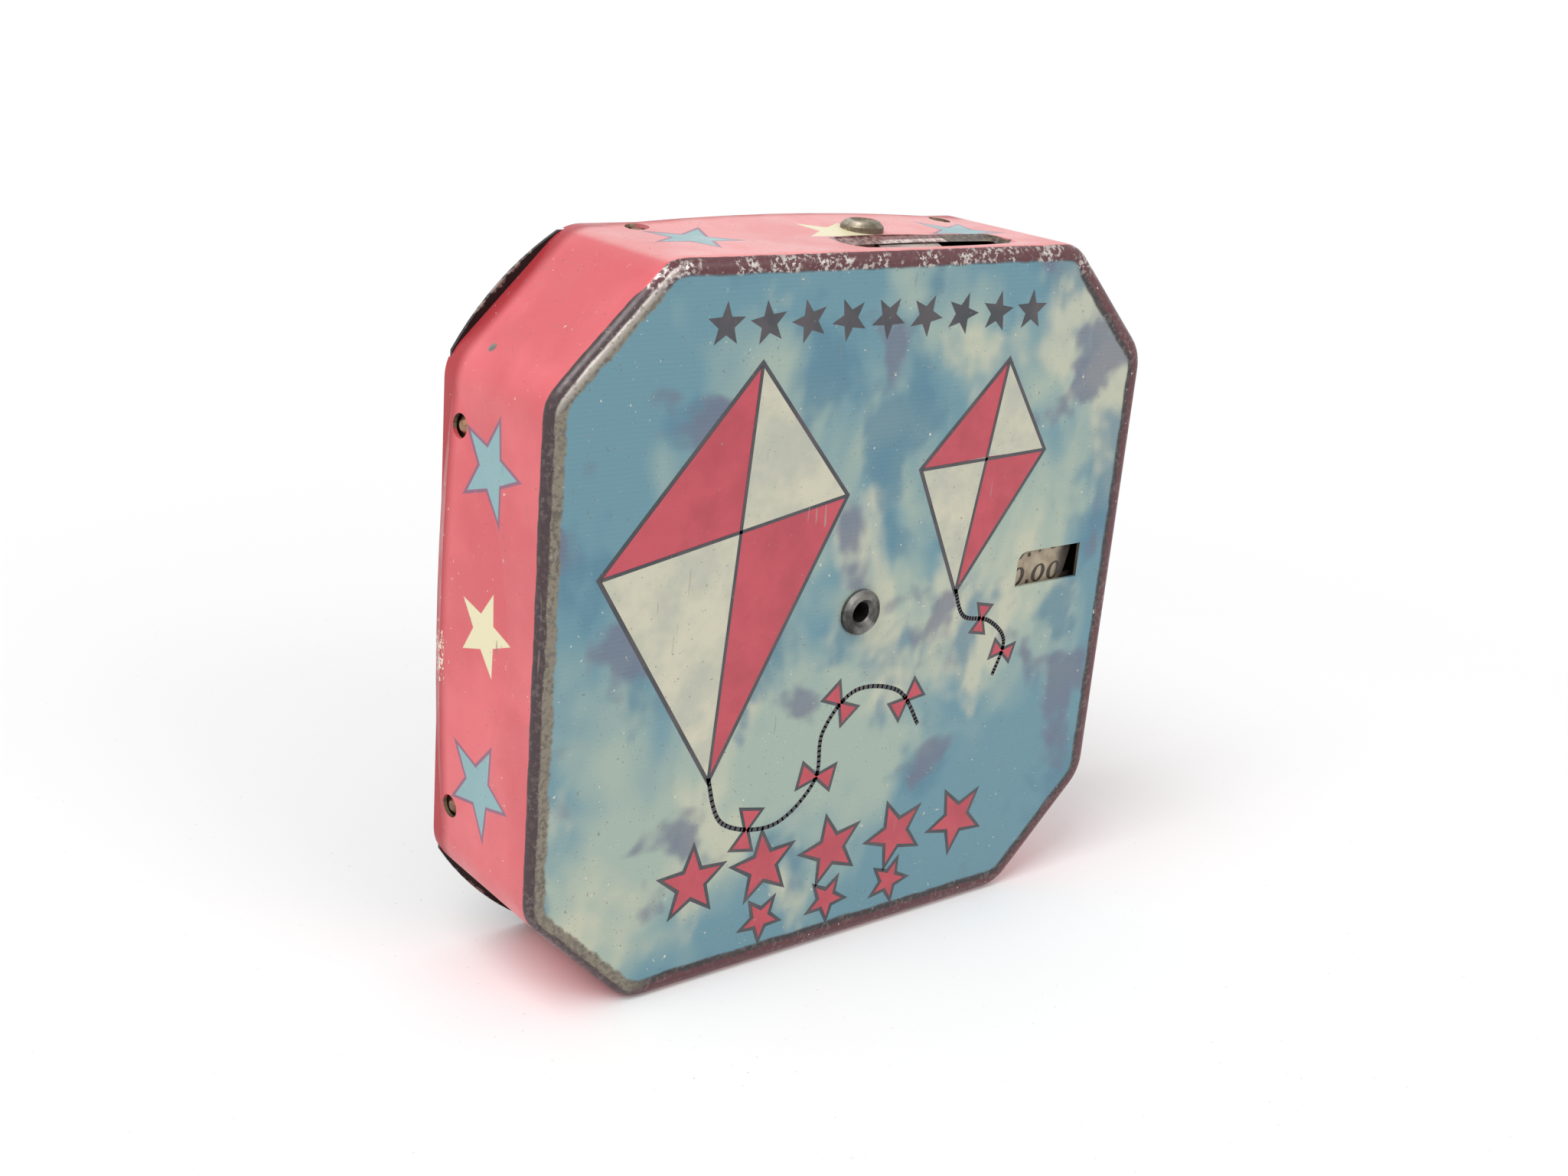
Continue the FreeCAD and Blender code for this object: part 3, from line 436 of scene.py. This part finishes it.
def sky(p, depth):
    """The face's ground: teal round the border, a pale slanting middle, darker patches and fine lines."""
    x, _, z = p.xyz()
    off_middle = p.absolute(p.add(p.subtract(p.up(), p.multiply(x, MIDDLE_SLOPE)), MIDDLE_DROP))
    middle = p.ramp(off_middle, MIDDLE_END, MIDDLE_FULL, -0.10, 0.10, smooth=False)
    border = p.ramp(depth, BORDER, 1.0, 0.0, -0.10)
    haze = p.add(clouds(p, 16.0, (12, 0, 40), (1.0, 1, 1.3)), p.add(middle, border))
    light = p.add(clouds(p, 11.0, (25, 0, 15), (0.9, 1, 1.3)), middle)
    deep = clouds(p, 9.5, (50, 0, 7), (1, 1, 1.2))
    dusk = clouds(p, 10.0, (5, 0, 81))
    ground = p.mix(p.ramp(haze, 0.42, 0.62), SKY_TEAL, SKY_MIDDLE)
    ground = p.tint(ground, SKY_LIGHT, p.ramp(light, 0.54, 0.70), 0.85)
    ground = p.tint(ground, SKY_DEEP, p.ramp(deep, 0.53, 0.66), 0.75)
    ground = p.tint(ground, SKY_DUSK, p.ramp(dusk, 0.56, 0.66), 0.75)
    lines = p.math("SINE", p.multiply(z, 2 * math.pi / LINE_PITCH))
    return p.mix(p.ramp(lines, -1, 1, 0.0, 0.015), ground, SKY_LINES)


def pink_walls(p, shade):
    """The walls' paint without its stars: pink, with painted light making the top wall paler as if lit from
    above, and faint stains.
    """
    pink = p.mix(p.ramp(shade, 0.35, 0.65), PINK_DEEP, PINK_LIGHT)
    # painted light: the top wall made paler, as if lit from above
    lit_top = p.ramp(p.up(), HALF_H - 0.6, HALF_H - 0.2)
    pink = p.tint(pink, PINK_TOP_LIT, lit_top, 0.45)
    stain = p.spots(2.6, 0.66, 0.08, 2.0, shift=(90, 2, 5))
    return p.tint(pink, PINK_STAIN, stain, 0.35)


def printed_walls(p, shade, rear_red_and_shade):
    """The walls: pink with stars, dark red at the back edge, partly the paint's own red and partly painted
    shade where the edge rolls inwards.
    """
    x, y, _ = p.xyz()
    up = p.up()
    edge = 0.6
    on_upright = p.math("GREATER_THAN", p.absolute(x), HALF_W - edge)
    on_level = p.math("GREATER_THAN", p.absolute(up), HALF_H - edge)
    upright = wall_stars(p, up, y, on_upright, UPRIGHT_BLUE, UPRIGHT_CREAM)
    level = wall_stars(p, x, y, on_level, LEVEL_BLUE, LEVEL_CREAM)
    blue, line, cream = [p.maximum(one, other) for one, other in zip(upright, level)]
    rub = p.noise(1.6, 4.0, 0.6, shift=(17, 5, 33))
    color = p.tint(pink_walls(p, shade), STAR_OUTLINE, line, 0.85)
    color = p.tint(color, STAR_BLUE, blue, p.ramp(rub, 0.22, 0.34))
    color = p.tint(color, STAR_CREAM, cream, p.ramp(rub, 0.22, 0.32))
    return p.tint(color, REAR_RED_AND_SHADE, rear_red_and_shade, 0.9)


def rim_sides(p):
    """1 where the rim is maroon: to the right, below and above. And 1 above alone."""
    x = p.xyz()[0]
    up = p.up()
    right = p.ramp(x, *RIM_RIGHT)
    low = p.multiply(p.ramp(up, *RIM_LOW), p.ramp(x, *RIM_LOW_LEFT))
    high = p.ramp(up, *RIM_HIGH)
    return p.maximum(right, p.maximum(low, high)), high


def rim_paint(p, band, rag, maroon, grit):
    """The rim's two lines, one outside the other."""
    outer = p.mix(maroon, RIM_OUTER, RIM_OUTER_MAROON)
    outer = p.tint(outer, RIM_OUTER_GRIT, p.ramp(grit, 0.50, 0.62), 0.3)
    inner = p.mix(maroon, RIM_INNER, RIM_INNER_MAROON)
    inner = p.tint(inner, RIM_INNER_GRIT, p.ramp(grit, 0.45, 0.60), 0.7)
    crossing = p.subtract(p.add(band, p.multiply(rag, 0.5)), p.blend(maroon, *RIM_STEP))
    return p.mix(p.ramp(crossing, -0.12, 0.12), inner, outer)


def rim_bare(p, band, high, grit):
    """Where the rim is rubbed bare: in flecks above, and in a line along the upper left slanted side."""
    patches = p.ramp(p.noise(2.6, 2.0, shift=(6, 66, 6)), 0.44, 0.56)
    flecks = p.multiply(p.multiply(p.ramp(grit, 0.50, 0.57), patches), p.maximum(high, 0.08))
    slanted = p.ramp(p.subtract(p.up(), p.xyz()[0]), *RUBBED_SIDE)
    polished = p.multiply(slanted, p.ramp(p.absolute(p.add(band, RUBBED_AT)), *RUBBED_HALF))
    return p.maximum(flecks, p.multiply(polished, p.ramp(grit, 0.36, 0.46, 0.35, 1.0)))


def rim_borders(p, band, rag, maroon, high):
    """How much a place lies on a wall, outside the rim, and how much on the face, inside it."""
    on_wall = p.ramp(p.subtract(band, p.blend(maroon, *RIM_TO_WALL)), -0.06, 0.08)
    width = p.subtract(p.blend(maroon, *RIM_TO_FACE), p.multiply(high, 0.55))
    ragged = p.add(band, p.multiply(rag, p.blend(maroon, *RIM_RAG)))
    return on_wall, p.ramp(p.add(ragged, width), 0.05, -0.30)


def case_print(p, shade, rear_red_and_shade):
    """The whole print, and where its rim is bare metal."""
    depth = octagon_depth(p)
    wobble = p.multiply(p.subtract(p.noise(3.0, 3.0), 0.5), 0.5)
    # how far round the rim a place is: behind the front on a wall, and minus the depth on the face
    band = p.add(p.subtract(p.subtract(p.xyz()[1], FRONT_Y), depth), wobble)
    grit = p.noise(0.45, 4.0, 0.65, shift=(60, 5, 3))
    rag = p.multiply(p.subtract(p.noise(0.9, 4.0, 0.7, shift=(44, 5, 3)), 0.5), 1.3)
    maroon, high = rim_sides(p)
    on_wall, on_face = rim_borders(p, band, rag, maroon, high)
    outside = p.mix(on_wall, rim_paint(p, band, rag, maroon, grit), printed_walls(p, shade, rear_red_and_shade))
    on_rim = p.math("SUBTRACT", p.subtract(1.0, on_wall), on_face, clamp=True)
    return p.mix(on_face, outside, sky(p, depth)), p.multiply(rim_bare(p, band, high, grit), on_rim)


def inside_case(p):
    """1 where the case's surface looks towards a point in its middle."""
    away = p.new("VectorMath", operation="SUBTRACT")
    p.put(away.inputs[0], p.place)
    away.inputs[1].default_value = (0.0, MID_Y * MM, MID_Z * MM)
    facing = p.new("VectorMath", operation="DOT_PRODUCT")
    p.put(facing.inputs[0], p.new("NewGeometry").outputs["Normal"])
    p.put(facing.inputs[1], away.outputs[0])
    return p.math("LESS_THAN", facing.outputs["Value"], 0.0)


def printed_tin():
    """The case: lithographed tin, pink walls with stars, a worn rim, a sky on the face, bare inside."""
    p = Paint("printed_tin")
    shade = p.noise(14.0, 3.0, 0.6, shift=(3, 9, 2))
    # a darker red band along the back edge: partly the paint, partly painted shade
    rear_red_and_shade = p.ramp(p.add(p.xyz()[1], p.multiply(shade, 1.5)), *REAR_BORDER)
    color, metal = case_print(p, shade, rear_red_and_shade)
    worn = p.wear()
    specks = p.specks()
    color = p.mix(wall_chips(p), color, CHIP)
    color = p.tint(color, SPECK, specks, 0.6)
    color = p.tint(color, WORN_TIN, worn, 0.6)
    color = p.mix(metal, color, BARE_TIN)
    color, metal = slot_wear_and_shade(p, color, metal)
    inner = inside_case(p)
    color = p.mix(inner, color, p.mix(p.noise(6.0, 3.0), INSIDE_DARK, INSIDE_LIGHT))
    metal = p.maximum(metal, p.multiply(inner, 0.85))
    p.set(base_color=color, metallic=metal, ior=1.5, specular_ior_level=p.blend(rear_red_and_shade, 0.5, 0.15))
    p.set(roughness=p.add(p.print_gloss(), p.multiply(p.maximum(worn, specks), 0.25)))
    height = p.add(p.noise(9.0, 2.0), p.multiply(p.noise(0.5, 2.0), 0.05))
    p.bump(p.subtract(height, p.multiply(worn, 0.06)), 0.25)
    return p.mat


def halftone_dots(p):
    """Rows of dots at 45 degrees: a number from -1 to 1, high in each dot."""
    pitch = 0.5
    x, _, z = p.xyz()
    slopes = (p.add(x, z), p.subtract(x, z))
    return p.multiply(*[p.math("SINE", p.multiply(slope, 2 * math.pi / pitch)) for slope in slopes])


def print_ink(name, color, second, halftone=0.0):
    """Ink printed over the ground, with the same scratches as the ground."""
    p = Paint(name)
    tone = p.ramp(p.noise(4.0, 3.0, 0.6, shift=(3, 3, 3)), 0.3, 0.7)
    paint = p.mix(tone, srgb(*color), srgb(*second))
    if halftone:
        paint = p.mix(p.ramp(halftone_dots(p), -0.2, 0.6, 0.0, halftone), paint, srgb(*second))
    paint = p.tint(paint, SPECK, p.specks(), 0.6)
    paint = p.tint(paint, WORN_INK, p.wear(), 0.6)
    p.set(base_color=paint, ior=1.5, roughness=p.print_gloss())
    p.bump(p.noise(9.0, 2.0), 0.25)
    return p.mat


def plain_metal(name, light, dark, rough, grain=1.2, stain=None, stretch=(1, 1, 1)):
    """Bare or plated metal with a grain, dull patches and, where a colour for it is given, stains."""
    p = Paint(name)
    cloud = p.noise(grain * 3, 4.0, 0.6, stretch=stretch, shift=(5, 1, 9))
    fine = p.noise(grain * 0.3, 3.0, 0.6, stretch=stretch, shift=(1, 7, 2))
    color = p.mix(p.ramp(cloud, 0.35, 0.65), srgb(*light), srgb(*dark))
    metal = 1.0
    if stain:
        rust = p.spots(grain * 1.5, 0.55, 0.12, 4.0, shift=(40, 3, 12))
        color = p.tint(color, srgb(*stain), rust, 0.85)
        metal = p.subtract(1.0, p.multiply(rust, 0.8))
    dull = p.add(p.multiply(cloud, 0.6), p.multiply(fine, 0.4))
    p.set(base_color=color, metallic=metal, roughness=p.ramp(dull, 0.3, 0.7, *rough))
    p.bump(p.add(fine, cloud), 0.03)
    return p.mat


def dial_card():
    """The amounts' disc: old beige lacquer, browned, with painted shade darkening it towards its rim."""
    p = Paint("dial_card")
    x, _, z = p.xyz()
    age = p.noise(2.5, 4.0, 0.6, shift=(4, 2, 6))
    color = p.mix(p.ramp(age, 0.3, 0.7), DIAL_LIGHT, DIAL_DARK)
    fox = p.spots(0.8, 0.60, 0.08, 2.0, shift=(9, 2, 30))
    color = p.tint(color, DIAL_FOX, fox, 0.6)
    reach = p.length(x, p.subtract(z, AXLE_Z))
    # painted shade: the disc darkens towards its rim, as if shadowed by the case's front
    edge = p.ramp(p.add(reach, p.multiply(age, 1.2)), DIAL_RADIUS - 0.9, DIAL_RADIUS + 0.5)
    p.set(base_color=p.mix(edge, color, DIAL_RIM_SHADE), roughness=p.ramp(age, 0.3, 0.7, 0.35, 0.6))
    p.bump(p.noise(0.4, 3.0), 0.02)
    return p.mat


def dial_ink():
    """The amounts' ink."""
    p = Paint("dial_ink")
    tone = p.noise(0.3, 3.0)
    p.set(base_color=p.mix(p.ramp(tone, 0.35, 0.65), DIGIT_DARK, DIGIT_LIGHT))
    p.set(roughness=p.ramp(tone, 0.3, 0.7, 0.4, 0.6))
    return p.mat


def black_enamel():
    """The cover: black enamel, rubbed through to the tin along its edge and in short scratches."""
    p = Paint("cover_enamel")
    grit = p.noise(0.9, 4.0, 0.65, shift=(2, 4, 8))
    edge = p.add(octagon_depth(p), p.multiply(p.subtract(grit, 0.5), 1.6))
    scratches = p.spots(0.6, 0.72, 0.03, 3.0, stretch=(5, 1, 1))
    worn = p.maximum(p.ramp(edge, -0.62, -0.86), scratches)
    cloud = p.noise(8.0, 4.0, 0.6)
    color = p.mix(p.ramp(cloud, 0.3, 0.7), ENAMEL_DARK, ENAMEL_LIGHT)
    p.set(base_color=p.mix(worn, color, ENAMEL_WORN), metallic=p.multiply(worn, 0.8))
    p.set(roughness=p.ramp(cloud, 0.3, 0.7, 0.28, 0.46), specular_ior_level=0.35)
    p.bump(p.add(p.noise(10.0, 2.0), p.multiply(grit, 0.06)), 0.2)
    return p.mat


def dress(material, *names):
    """Gives carried-over nodes their material."""
    for name in names:
        if not nodes[name].material_slots:
            nodes[name].data.materials.append(material)
        for one in nodes[name].material_slots:
            one.material = material


# the metals: name, light and dark colour, least and most roughness, grain, and what else they need
METALS = (
    ("worn_steel", (176, 172, 166), (128, 124, 120), (0.28, 0.5), 1.2, {}),
    ("spring_steel", (196, 194, 190), (150, 148, 146), (0.18, 0.34), 0.8, {}),
    ("dull_tin", (160, 152, 138), (118, 110, 100), (0.32, 0.55), 2.0, {"stain": (96, 74, 56)}),
    ("wheel_tin", (104, 94, 84), (62, 54, 48), (0.4, 0.6), 1.5, {"stain": (48, 38, 32)}),
    ("dark_steel", (132, 130, 126), (70, 68, 66), (0.34, 0.6), 0.9, {}),
    ("brown_rivet", (176, 166, 148), (108, 100, 86), (0.28, 0.5), 0.9, {"stain": (88, 74, 58)}),
    ("slot_tin", (196, 182, 174), (150, 130, 124), (0.24, 0.5), 0.9,
     {"stain": (112, 74, 66), "stretch": (3, 1, 1)}),
    ("bracket_tin", (150, 124, 116), (104, 76, 72), (0.35, 0.6), 1.2, {"stain": (88, 56, 50)}),
    ("strip_tin", (168, 132, 104), (122, 90, 70), (0.3, 0.5), 1.2, {"stain": (92, 62, 48)}),
)
# the nodes that wear each of them
WEARERS = {
    "worn_steel": ("spacing_washer", "end_washer", "hub_bush", "hub_rivets", "lever_pin", "lever_bush",
                   "pawl_rivet", "check_rivet", "hook_rivets"),
    "spring_steel": ("drive_pawl", "return_spring", "check_spring"),
    "dull_tin": ("lock_disc",),
    "wheel_tin": ("register_wheel",),
    "dark_steel": ("centre_eyelet",),
    "brown_rivet": ("top_rivet",),
    "slot_tin": ("coin_lever",),
    "bracket_tin": ("mechanism_bracket",),
    "strip_tin": ("snap_strips", "lock_hook"),
}
for metal_name, metal_light, metal_dark, metal_rough, metal_grain, more in METALS:
    metal = plain_metal(metal_name, metal_light, metal_dark, metal_rough, metal_grain, **more)
    dress(metal, *WEARERS[metal_name])
dress(printed_tin(), "front_case")
dress(dial_card(), "dial_disc")
dress(black_enamel(), "back_cover")

# print on the face: CLEAR is the step from one layer of ink to the next, LINE the outlines' width
CLEAR = 0.012
LINE = 0.4
SPAR = LINE * 0.8
ink_red = print_ink("ink_red", (184, 70, 82), (168, 60, 73), 0.25)
ink_cream = print_ink("ink_cream", (192, 188, 166), (168, 170, 156), 0.2)
ink_dark = print_ink("ink_dark", (52, 56, 62), (76, 70, 74))


def star_points(centre, radius, turn):
    """A star's outline."""
    points = []
    for i in range(2 * STAR_SIDES):
        reach = radius if i % 2 == 0 else radius * STAR_NOTCH
        angle = math.radians(turn + 180 / STAR_SIDES * i)
        points.append((centre[0] + reach * math.cos(angle), centre[1] + reach * math.sin(angle)))
    return points


def turns_left(points):
    """1 for an outline that runs anticlockwise, and -1 for one that runs clockwise."""
    following = points[1:] + points[:1]
    area = sum(a[0] * b[1] - b[0] * a[1] for a, b in zip(points, following))
    return 1 if area > 0 else -1


def grown(points, by):
    """An outline moved outwards by a distance, its sharp corners cut short as a pen would."""
    sign = turns_left(points)
    sharpest = 0.45
    out = []
    for i, point in enumerate(points):
        here = Vector(point)
        before = (here - Vector(points[i - 1])).normalized()
        after = (Vector(points[(i + 1) % len(points)]) - here).normalized()
        out_before = Vector((before.y, -before.x)) * sign
        side = out_before + Vector((after.y, -after.x)) * sign
        side.normalize()
        out.append(tuple(here + side * (by / max(sharpest, side.dot(out_before)))))
    return out


def add_piece(name, mesh, made, material):
    """Puts what was made into the mesh, and the mesh into the scene."""
    made.to_mesh(mesh)
    made.free()
    mesh.materials.append(material)
    piece = bpy.data.objects.new(name, mesh)
    bpy.context.scene.collection.objects.link(piece)
    return piece


def face_print(name, outlines, layer, material):
    """Flat printed shapes on the case's face: outlines are lists of (x, height above the middle)."""
    mesh = bpy.data.meshes.new(name)
    made = bmesh.new()
    y = (FRONT_Y - CLEAR * layer) * MM
    for points in outlines:
        corners = [made.verts.new((u * MM, y, (MID_Z + v) * MM)) for u, v in points]
        made.faces.new(corners).normal_update()
    bmesh.ops.triangulate(made, faces=made.faces[:], quad_method="BEAUTY", ngon_method="EAR_CLIP")
    for face in made.faces:
        face.normal_update()
        if face.normal.y > 0:
            face.normal_flip()
    piece = add_piece(name, mesh, made, material)
    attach(piece, "case")


def bar(start, end, width):
    """A straight line of the given width, as a closed outline."""
    a = Vector(start)
    b = Vector(end)
    side = Vector((-(b - a).y, (b - a).x)).normalized() * width / 2
    return [tuple(a + side), tuple(b + side), tuple(b - side), tuple(a - side)]


def curve_points(knots, steps=10):
    """A smooth line through the knots."""
    out = []
    last = len(knots) - 1
    for i in range(last):
        a, b, c, d = (Vector(knots[k]) for k in (max(i - 1, 0), i, i + 1, min(i + 2, last)))
        for k in range(steps):
            t = k / steps
            straight = (2 * b) + (c - a) * t
            bend = (2 * a - 5 * b + 4 * c - d) * t * t
            twist = (3 * b - a - 3 * c + d) * t ** 3
            out.append(tuple(0.5 * (straight + bend + twist)))
    out.append(tuple(knots[-1]))
    return out


def strips(path, width):
    """A line as small four-sided pieces, so that it may bend back on itself."""
    overlap = 0.2
    out = []
    for start, end in zip(path, path[1:]):
        a = Vector(start)
        b = Vector(end)
        side = Vector((-(b - a).y, (b - a).x)).normalized() * width / 2
        reach = (b - a).normalized() * width * overlap
        corners = (a + side - reach, a - side - reach, b - side + reach, b + side + reach)
        out.append([tuple(corner) for corner in corners])
    return out


def bow(here, along, size):
    """A bow's two wings: triangles that meet on the tail."""
    side = Vector((-along.y, along.x))
    flare = along * size * 0.55
    tips = (here + side * size, here + side * -1 * size)
    return [[tuple(here), tuple(tip + flare), tuple(tip - flare)] for tip in tips]


def kite(name, top, right, bottom, left, cross, tail, bows):
    """A four-panel kite with spars, and a tail with bows, each at a share of its length and of a size."""
    path = curve_points(tail)
    wings = []
    for share, size in bows:
        k = int(share * (len(path) - 2))
        here = Vector(path[k])
        wings += bow(here, (Vector(path[k + 1]) - here).normalized(), size)
    outlines = [grown([top, right, bottom, left], LINE)] + [grown(wing, SPAR) for wing in wings]
    face_print(name + "_outline", outlines + strips(path, LINE * 1.1), 1, ink_dark)
    face_print(name + "_red", [[top, cross, left], [right, bottom, cross]] + wings, 2, ink_red)
    face_print(name + "_cream", [[top, right, cross], [cross, bottom, left]], 3, ink_cream)
    face_print(name + "_spars", [bar(top, bottom, SPAR), bar(left, right, SPAR)], 4, ink_dark)


def star_row(count, first, step, radius):
    """The centres and radii of a row of stars."""
    return [((first[0] + step[0] * i, first[1] + step[1] * i), radius) for i in range(count)]


def star_prints(row, twist):
    """The outlines of stars: the first stands upright, and each is turned by twist from the last."""
    return [star_points(centre, radius, 90 + twist * i) for i, (centre, radius) in enumerate(row)]


kite("large_kite", top=(-13.5, 24.5), right=(-3.0, 12.0), bottom=(-16.0, -13.0), left=(-28.5, 7.5),
     cross=(-14.5, 9.8),
     tail=[(-16.0, -13.0), (-14.0, -18.0), (-8.0, -19.5), (-3.5, -16.0), (-3.0, -11.0), (0.5, -7.5),
           (6.0, -8.5), (9.0, -12.5)],
     bows=[(0.22, 1.9), (0.46, 1.9), (0.68, 1.8), (0.92, 1.7)])
kite("small_kite", top=(15.5, 23.0), right=(21.5, 14.0), bottom=(12.0, 1.0), left=(6.0, 13.5),
     cross=(14.2, 14.0),
     tail=[(12.0, 1.0), (13.5, -2.0), (17.0, -3.0), (19.5, -5.5), (18.5, -9.0)],
     bows=[(0.45, 1.3), (0.85, 1.3)])

top_row = star_row(9, (-17.6, 28.2), (4.4, -0.05), 2.0)
low_rows = star_row(5, (-17.0, -23.3), (8.2, -0.25), 3.3) + star_row(3, (-8.6, -29.2), (8.0, 0.0), 2.0)
low_stars = star_prints(low_rows, 7)
face_print("top_stars", star_prints(top_row, 9), 1, ink_dark)
face_print("low_stars_outline", [grown(outline, LINE) for outline in low_stars], 1, ink_dark)
face_print("low_stars", low_stars, 2, ink_red)

# amounts on the dial
AMOUNTS = 50
NUMBER_REACH = 23.7
DIGIT_PITCH = 2.15
DIGIT_HEIGHT = 1.9
LETTER_SIZE = DIGIT_HEIGHT * 1.42
FIRST_ANGLE = 0.59
SLANT = 0.22
SIGN_PLACES = (-1.18, -0.52, 0.16, 1.16)
NOUGHT_RINGS = ((0.48, 0.5), (0.20, 0.40))
NOUGHT_STEPS = 28
POINT_RADIUS = 0.24
POINT_STEPS = 14


def circle_angles(steps):
    """The angles of the corners of a circle with that many steps."""
    return [2 * math.pi * i / steps for i in range(steps)]


def zero(made):
    """A slanted nought with thick sides, drawn about its middle on x and y."""
    rings = []
    for across, up in NOUGHT_RINGS:
        ring = []
        for angle in circle_angles(NOUGHT_STEPS):
            v = up * math.sin(angle) * DIGIT_HEIGHT
            ring.append(made.verts.new((across * math.cos(angle) * DIGIT_HEIGHT + SLANT * v, v, 0)))
        rings.append(ring)
    outer, inner = rings
    for i in range(NOUGHT_STEPS):
        j = (i + 1) % NOUGHT_STEPS
        made.faces.new((outer[i], outer[j], inner[j], inner[i]))


def point(made):
    """The point, at the digits' foot."""
    low = -0.5 * DIGIT_HEIGHT + POINT_RADIUS
    corners = []
    for angle in circle_angles(POINT_STEPS):
        u = POINT_RADIUS * math.cos(angle)
        v = POINT_RADIUS * math.sin(angle)
        corners.append(made.verts.new((u, low + v, 0)))
    made.faces.new(corners)


def digit(made, sign):
    """A digit in the built-in font, slanted."""
    text = bpy.data.curves.new("glyph", "FONT")
    text.body = sign
    text.size = LETTER_SIZE
    text.align_x = "CENTER"
    text.align_y = "CENTER"
    text.shear = SLANT
    text.resolution_u = 3
    letter = bpy.data.objects.new("glyph", text)
    flat = bpy.data.meshes.new_from_object(letter)
    made.from_mesh(flat)
    bpy.data.objects.remove(letter)
    bpy.data.curves.remove(text)
    bpy.data.meshes.remove(flat)


def glyph(sign):
    """The mesh of one digit or the point."""
    mesh = bpy.data.meshes.new("glyph")
    made = bmesh.new()
    if sign == "0":
        zero(made)
    elif sign == ".":
        point(made)
    else:
        digit(made, sign)
    made.to_mesh(mesh)
    made.free()
    return mesh


def amounts():
    """Every amount round the dial, flat on it, the one at the window upright."""
    mesh = bpy.data.meshes.new("dial_amounts")
    whole = bmesh.new()
    shapes = {sign: glyph(sign) for sign in "0123456789."}
    stand = Matrix.Rotation(math.radians(90), 4, "X") @ Matrix.Scale(MM, 4)
    lift = Matrix.Translation((0, (DIAL_Y - CLEAR) * MM, AXLE_Z * MM))
    for k in range(AMOUNTS):
        turn = Matrix.Rotation(-math.radians(FIRST_ANGLE + k * 360 / AMOUNTS), 4, "Y")
        for sign, place in zip(f"{k / 10:.2f}", SIGN_PLACES):
            reach = Matrix.Translation(((NUMBER_REACH + place * DIGIT_PITCH) * MM, 0, 0))
            flat = shapes[sign].copy()
            flat.transform(lift @ turn @ reach @ stand)
            whole.from_mesh(flat)
            bpy.data.meshes.remove(flat)
    for shape in shapes.values():
        bpy.data.meshes.remove(shape)
    piece = add_piece("dial_amounts", mesh, whole, dial_ink())
    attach(piece, "register")


amounts()

# the studio: places and sizes in metres, lamps in watts, greys as the linear numbers that a shader takes
FLOOR_HALF = 3.0
FLOOR_DROP = 0.00002
FLOOR_GREY = (0.90, 0.90, 0.90, 1)
FLOOR_SPECK = (0.74, 0.74, 0.73, 1)
WHITE = (1, 1, 1, 1)
SOFT_LEVEL = 0.62
LAMP_AIM = (0, 0, 0.03)
LAMPS = (("key_lamp", (-0.45, -0.15, 0.75), 0.5, 4.6), ("front_lamp", (0.25, -0.8, 0.45), 0.6, 2.4))
CAMERA_PLACE = (-0.10775, -0.12989, 0.09135)
CAMERA_RIGHT = Vector((0.7916253, -0.6054295, 0.0823680))
CAMERA_DOWN = Vector((-0.1348047, -0.3045448, -0.9429105))
CAMERA_AHEAD = Vector((0.5959506, 0.7353282, -0.3227001))
CAMERA_LENS = 42.71


def floor_paper():
    """Pale paper with faint specks, which goes over into plain white away from the object."""
    p = Paint("floor_paper")
    x, y, _ = p.xyz()
    p.set(base_color=p.mix(p.spots(0.5, 0.76, 0.02), FLOOR_GREY, FLOOR_SPECK))
    p.set(roughness=0.6, specular_ior_level=0.2)
    glow = p.new("Emission")
    glow.inputs["Color"].default_value = WHITE
    glow.inputs["Strength"].default_value = 1.0
    far = p.ramp(p.length(x, y), 60.0, 190.0)
    share = p.multiply(p.backdrop(), far)
    p.put(p.surface, p.mix_shaders(share, p.shader.outputs[0], glow.outputs[0]))
    return p.mat


def make_floor():
    """The floor, a hair under the object."""
    mesh = bpy.data.meshes.new("floor")
    made = bmesh.new()
    bmesh.ops.create_grid(made, x_segments=1, y_segments=1, size=FLOOR_HALF)
    floor = add_piece("floor", mesh, made, floor_paper())
    floor.location = (0, 0, -FLOOR_DROP)


def make_world():
    """Soft white light all round, and plain white where it is seen."""
    world = bpy.data.worlds.new("studio")
    bpy.context.scene.world = world
    world.use_nodes = True
    world.node_tree.nodes.clear()
    w = Nodes(world.node_tree)
    lights = []
    for strength in (SOFT_LEVEL, 1.0):
        background = w.new("Background")
        background.inputs["Color"].default_value = WHITE
        background.inputs["Strength"].default_value = strength
        lights.append(background.outputs[0])
    w.put(w.new("OutputWorld").inputs[0], w.mix_shaders(w.backdrop(), *lights))


def lamp(name, place, size, power):
    """A square soft lamp that looks at the object."""
    data = bpy.data.lights.new(name, "AREA")
    data.size = size
    data.energy = power
    light = bpy.data.objects.new(name, data)
    bpy.context.scene.collection.objects.link(light)
    light.location = place
    light.rotation_mode = "QUATERNION"
    light.rotation_quaternion = (Vector(LAMP_AIM) - Vector(place)).to_track_quat("-Z", "Y")


def make_camera():
    """The camera at the photograph's place, fitted to the case's corners."""
    data = bpy.data.cameras.new("camera")
    data.sensor_width = 36.0
    data.lens = CAMERA_LENS
    data.clip_start = 0.01
    camera = bpy.data.objects.new("camera", data)
    bpy.context.scene.collection.objects.link(camera)
    bpy.context.scene.camera = camera
    axes = Matrix((CAMERA_RIGHT, -CAMERA_DOWN, -CAMERA_AHEAD)).transposed()
    camera.matrix_world = Matrix.Translation(CAMERA_PLACE) @ axes.to_4x4()


make_floor()
make_world()
for lamp_values in LAMPS:
    lamp(*lamp_values)
make_camera()

bpy.context.scene.view_settings.view_transform = "Standard"
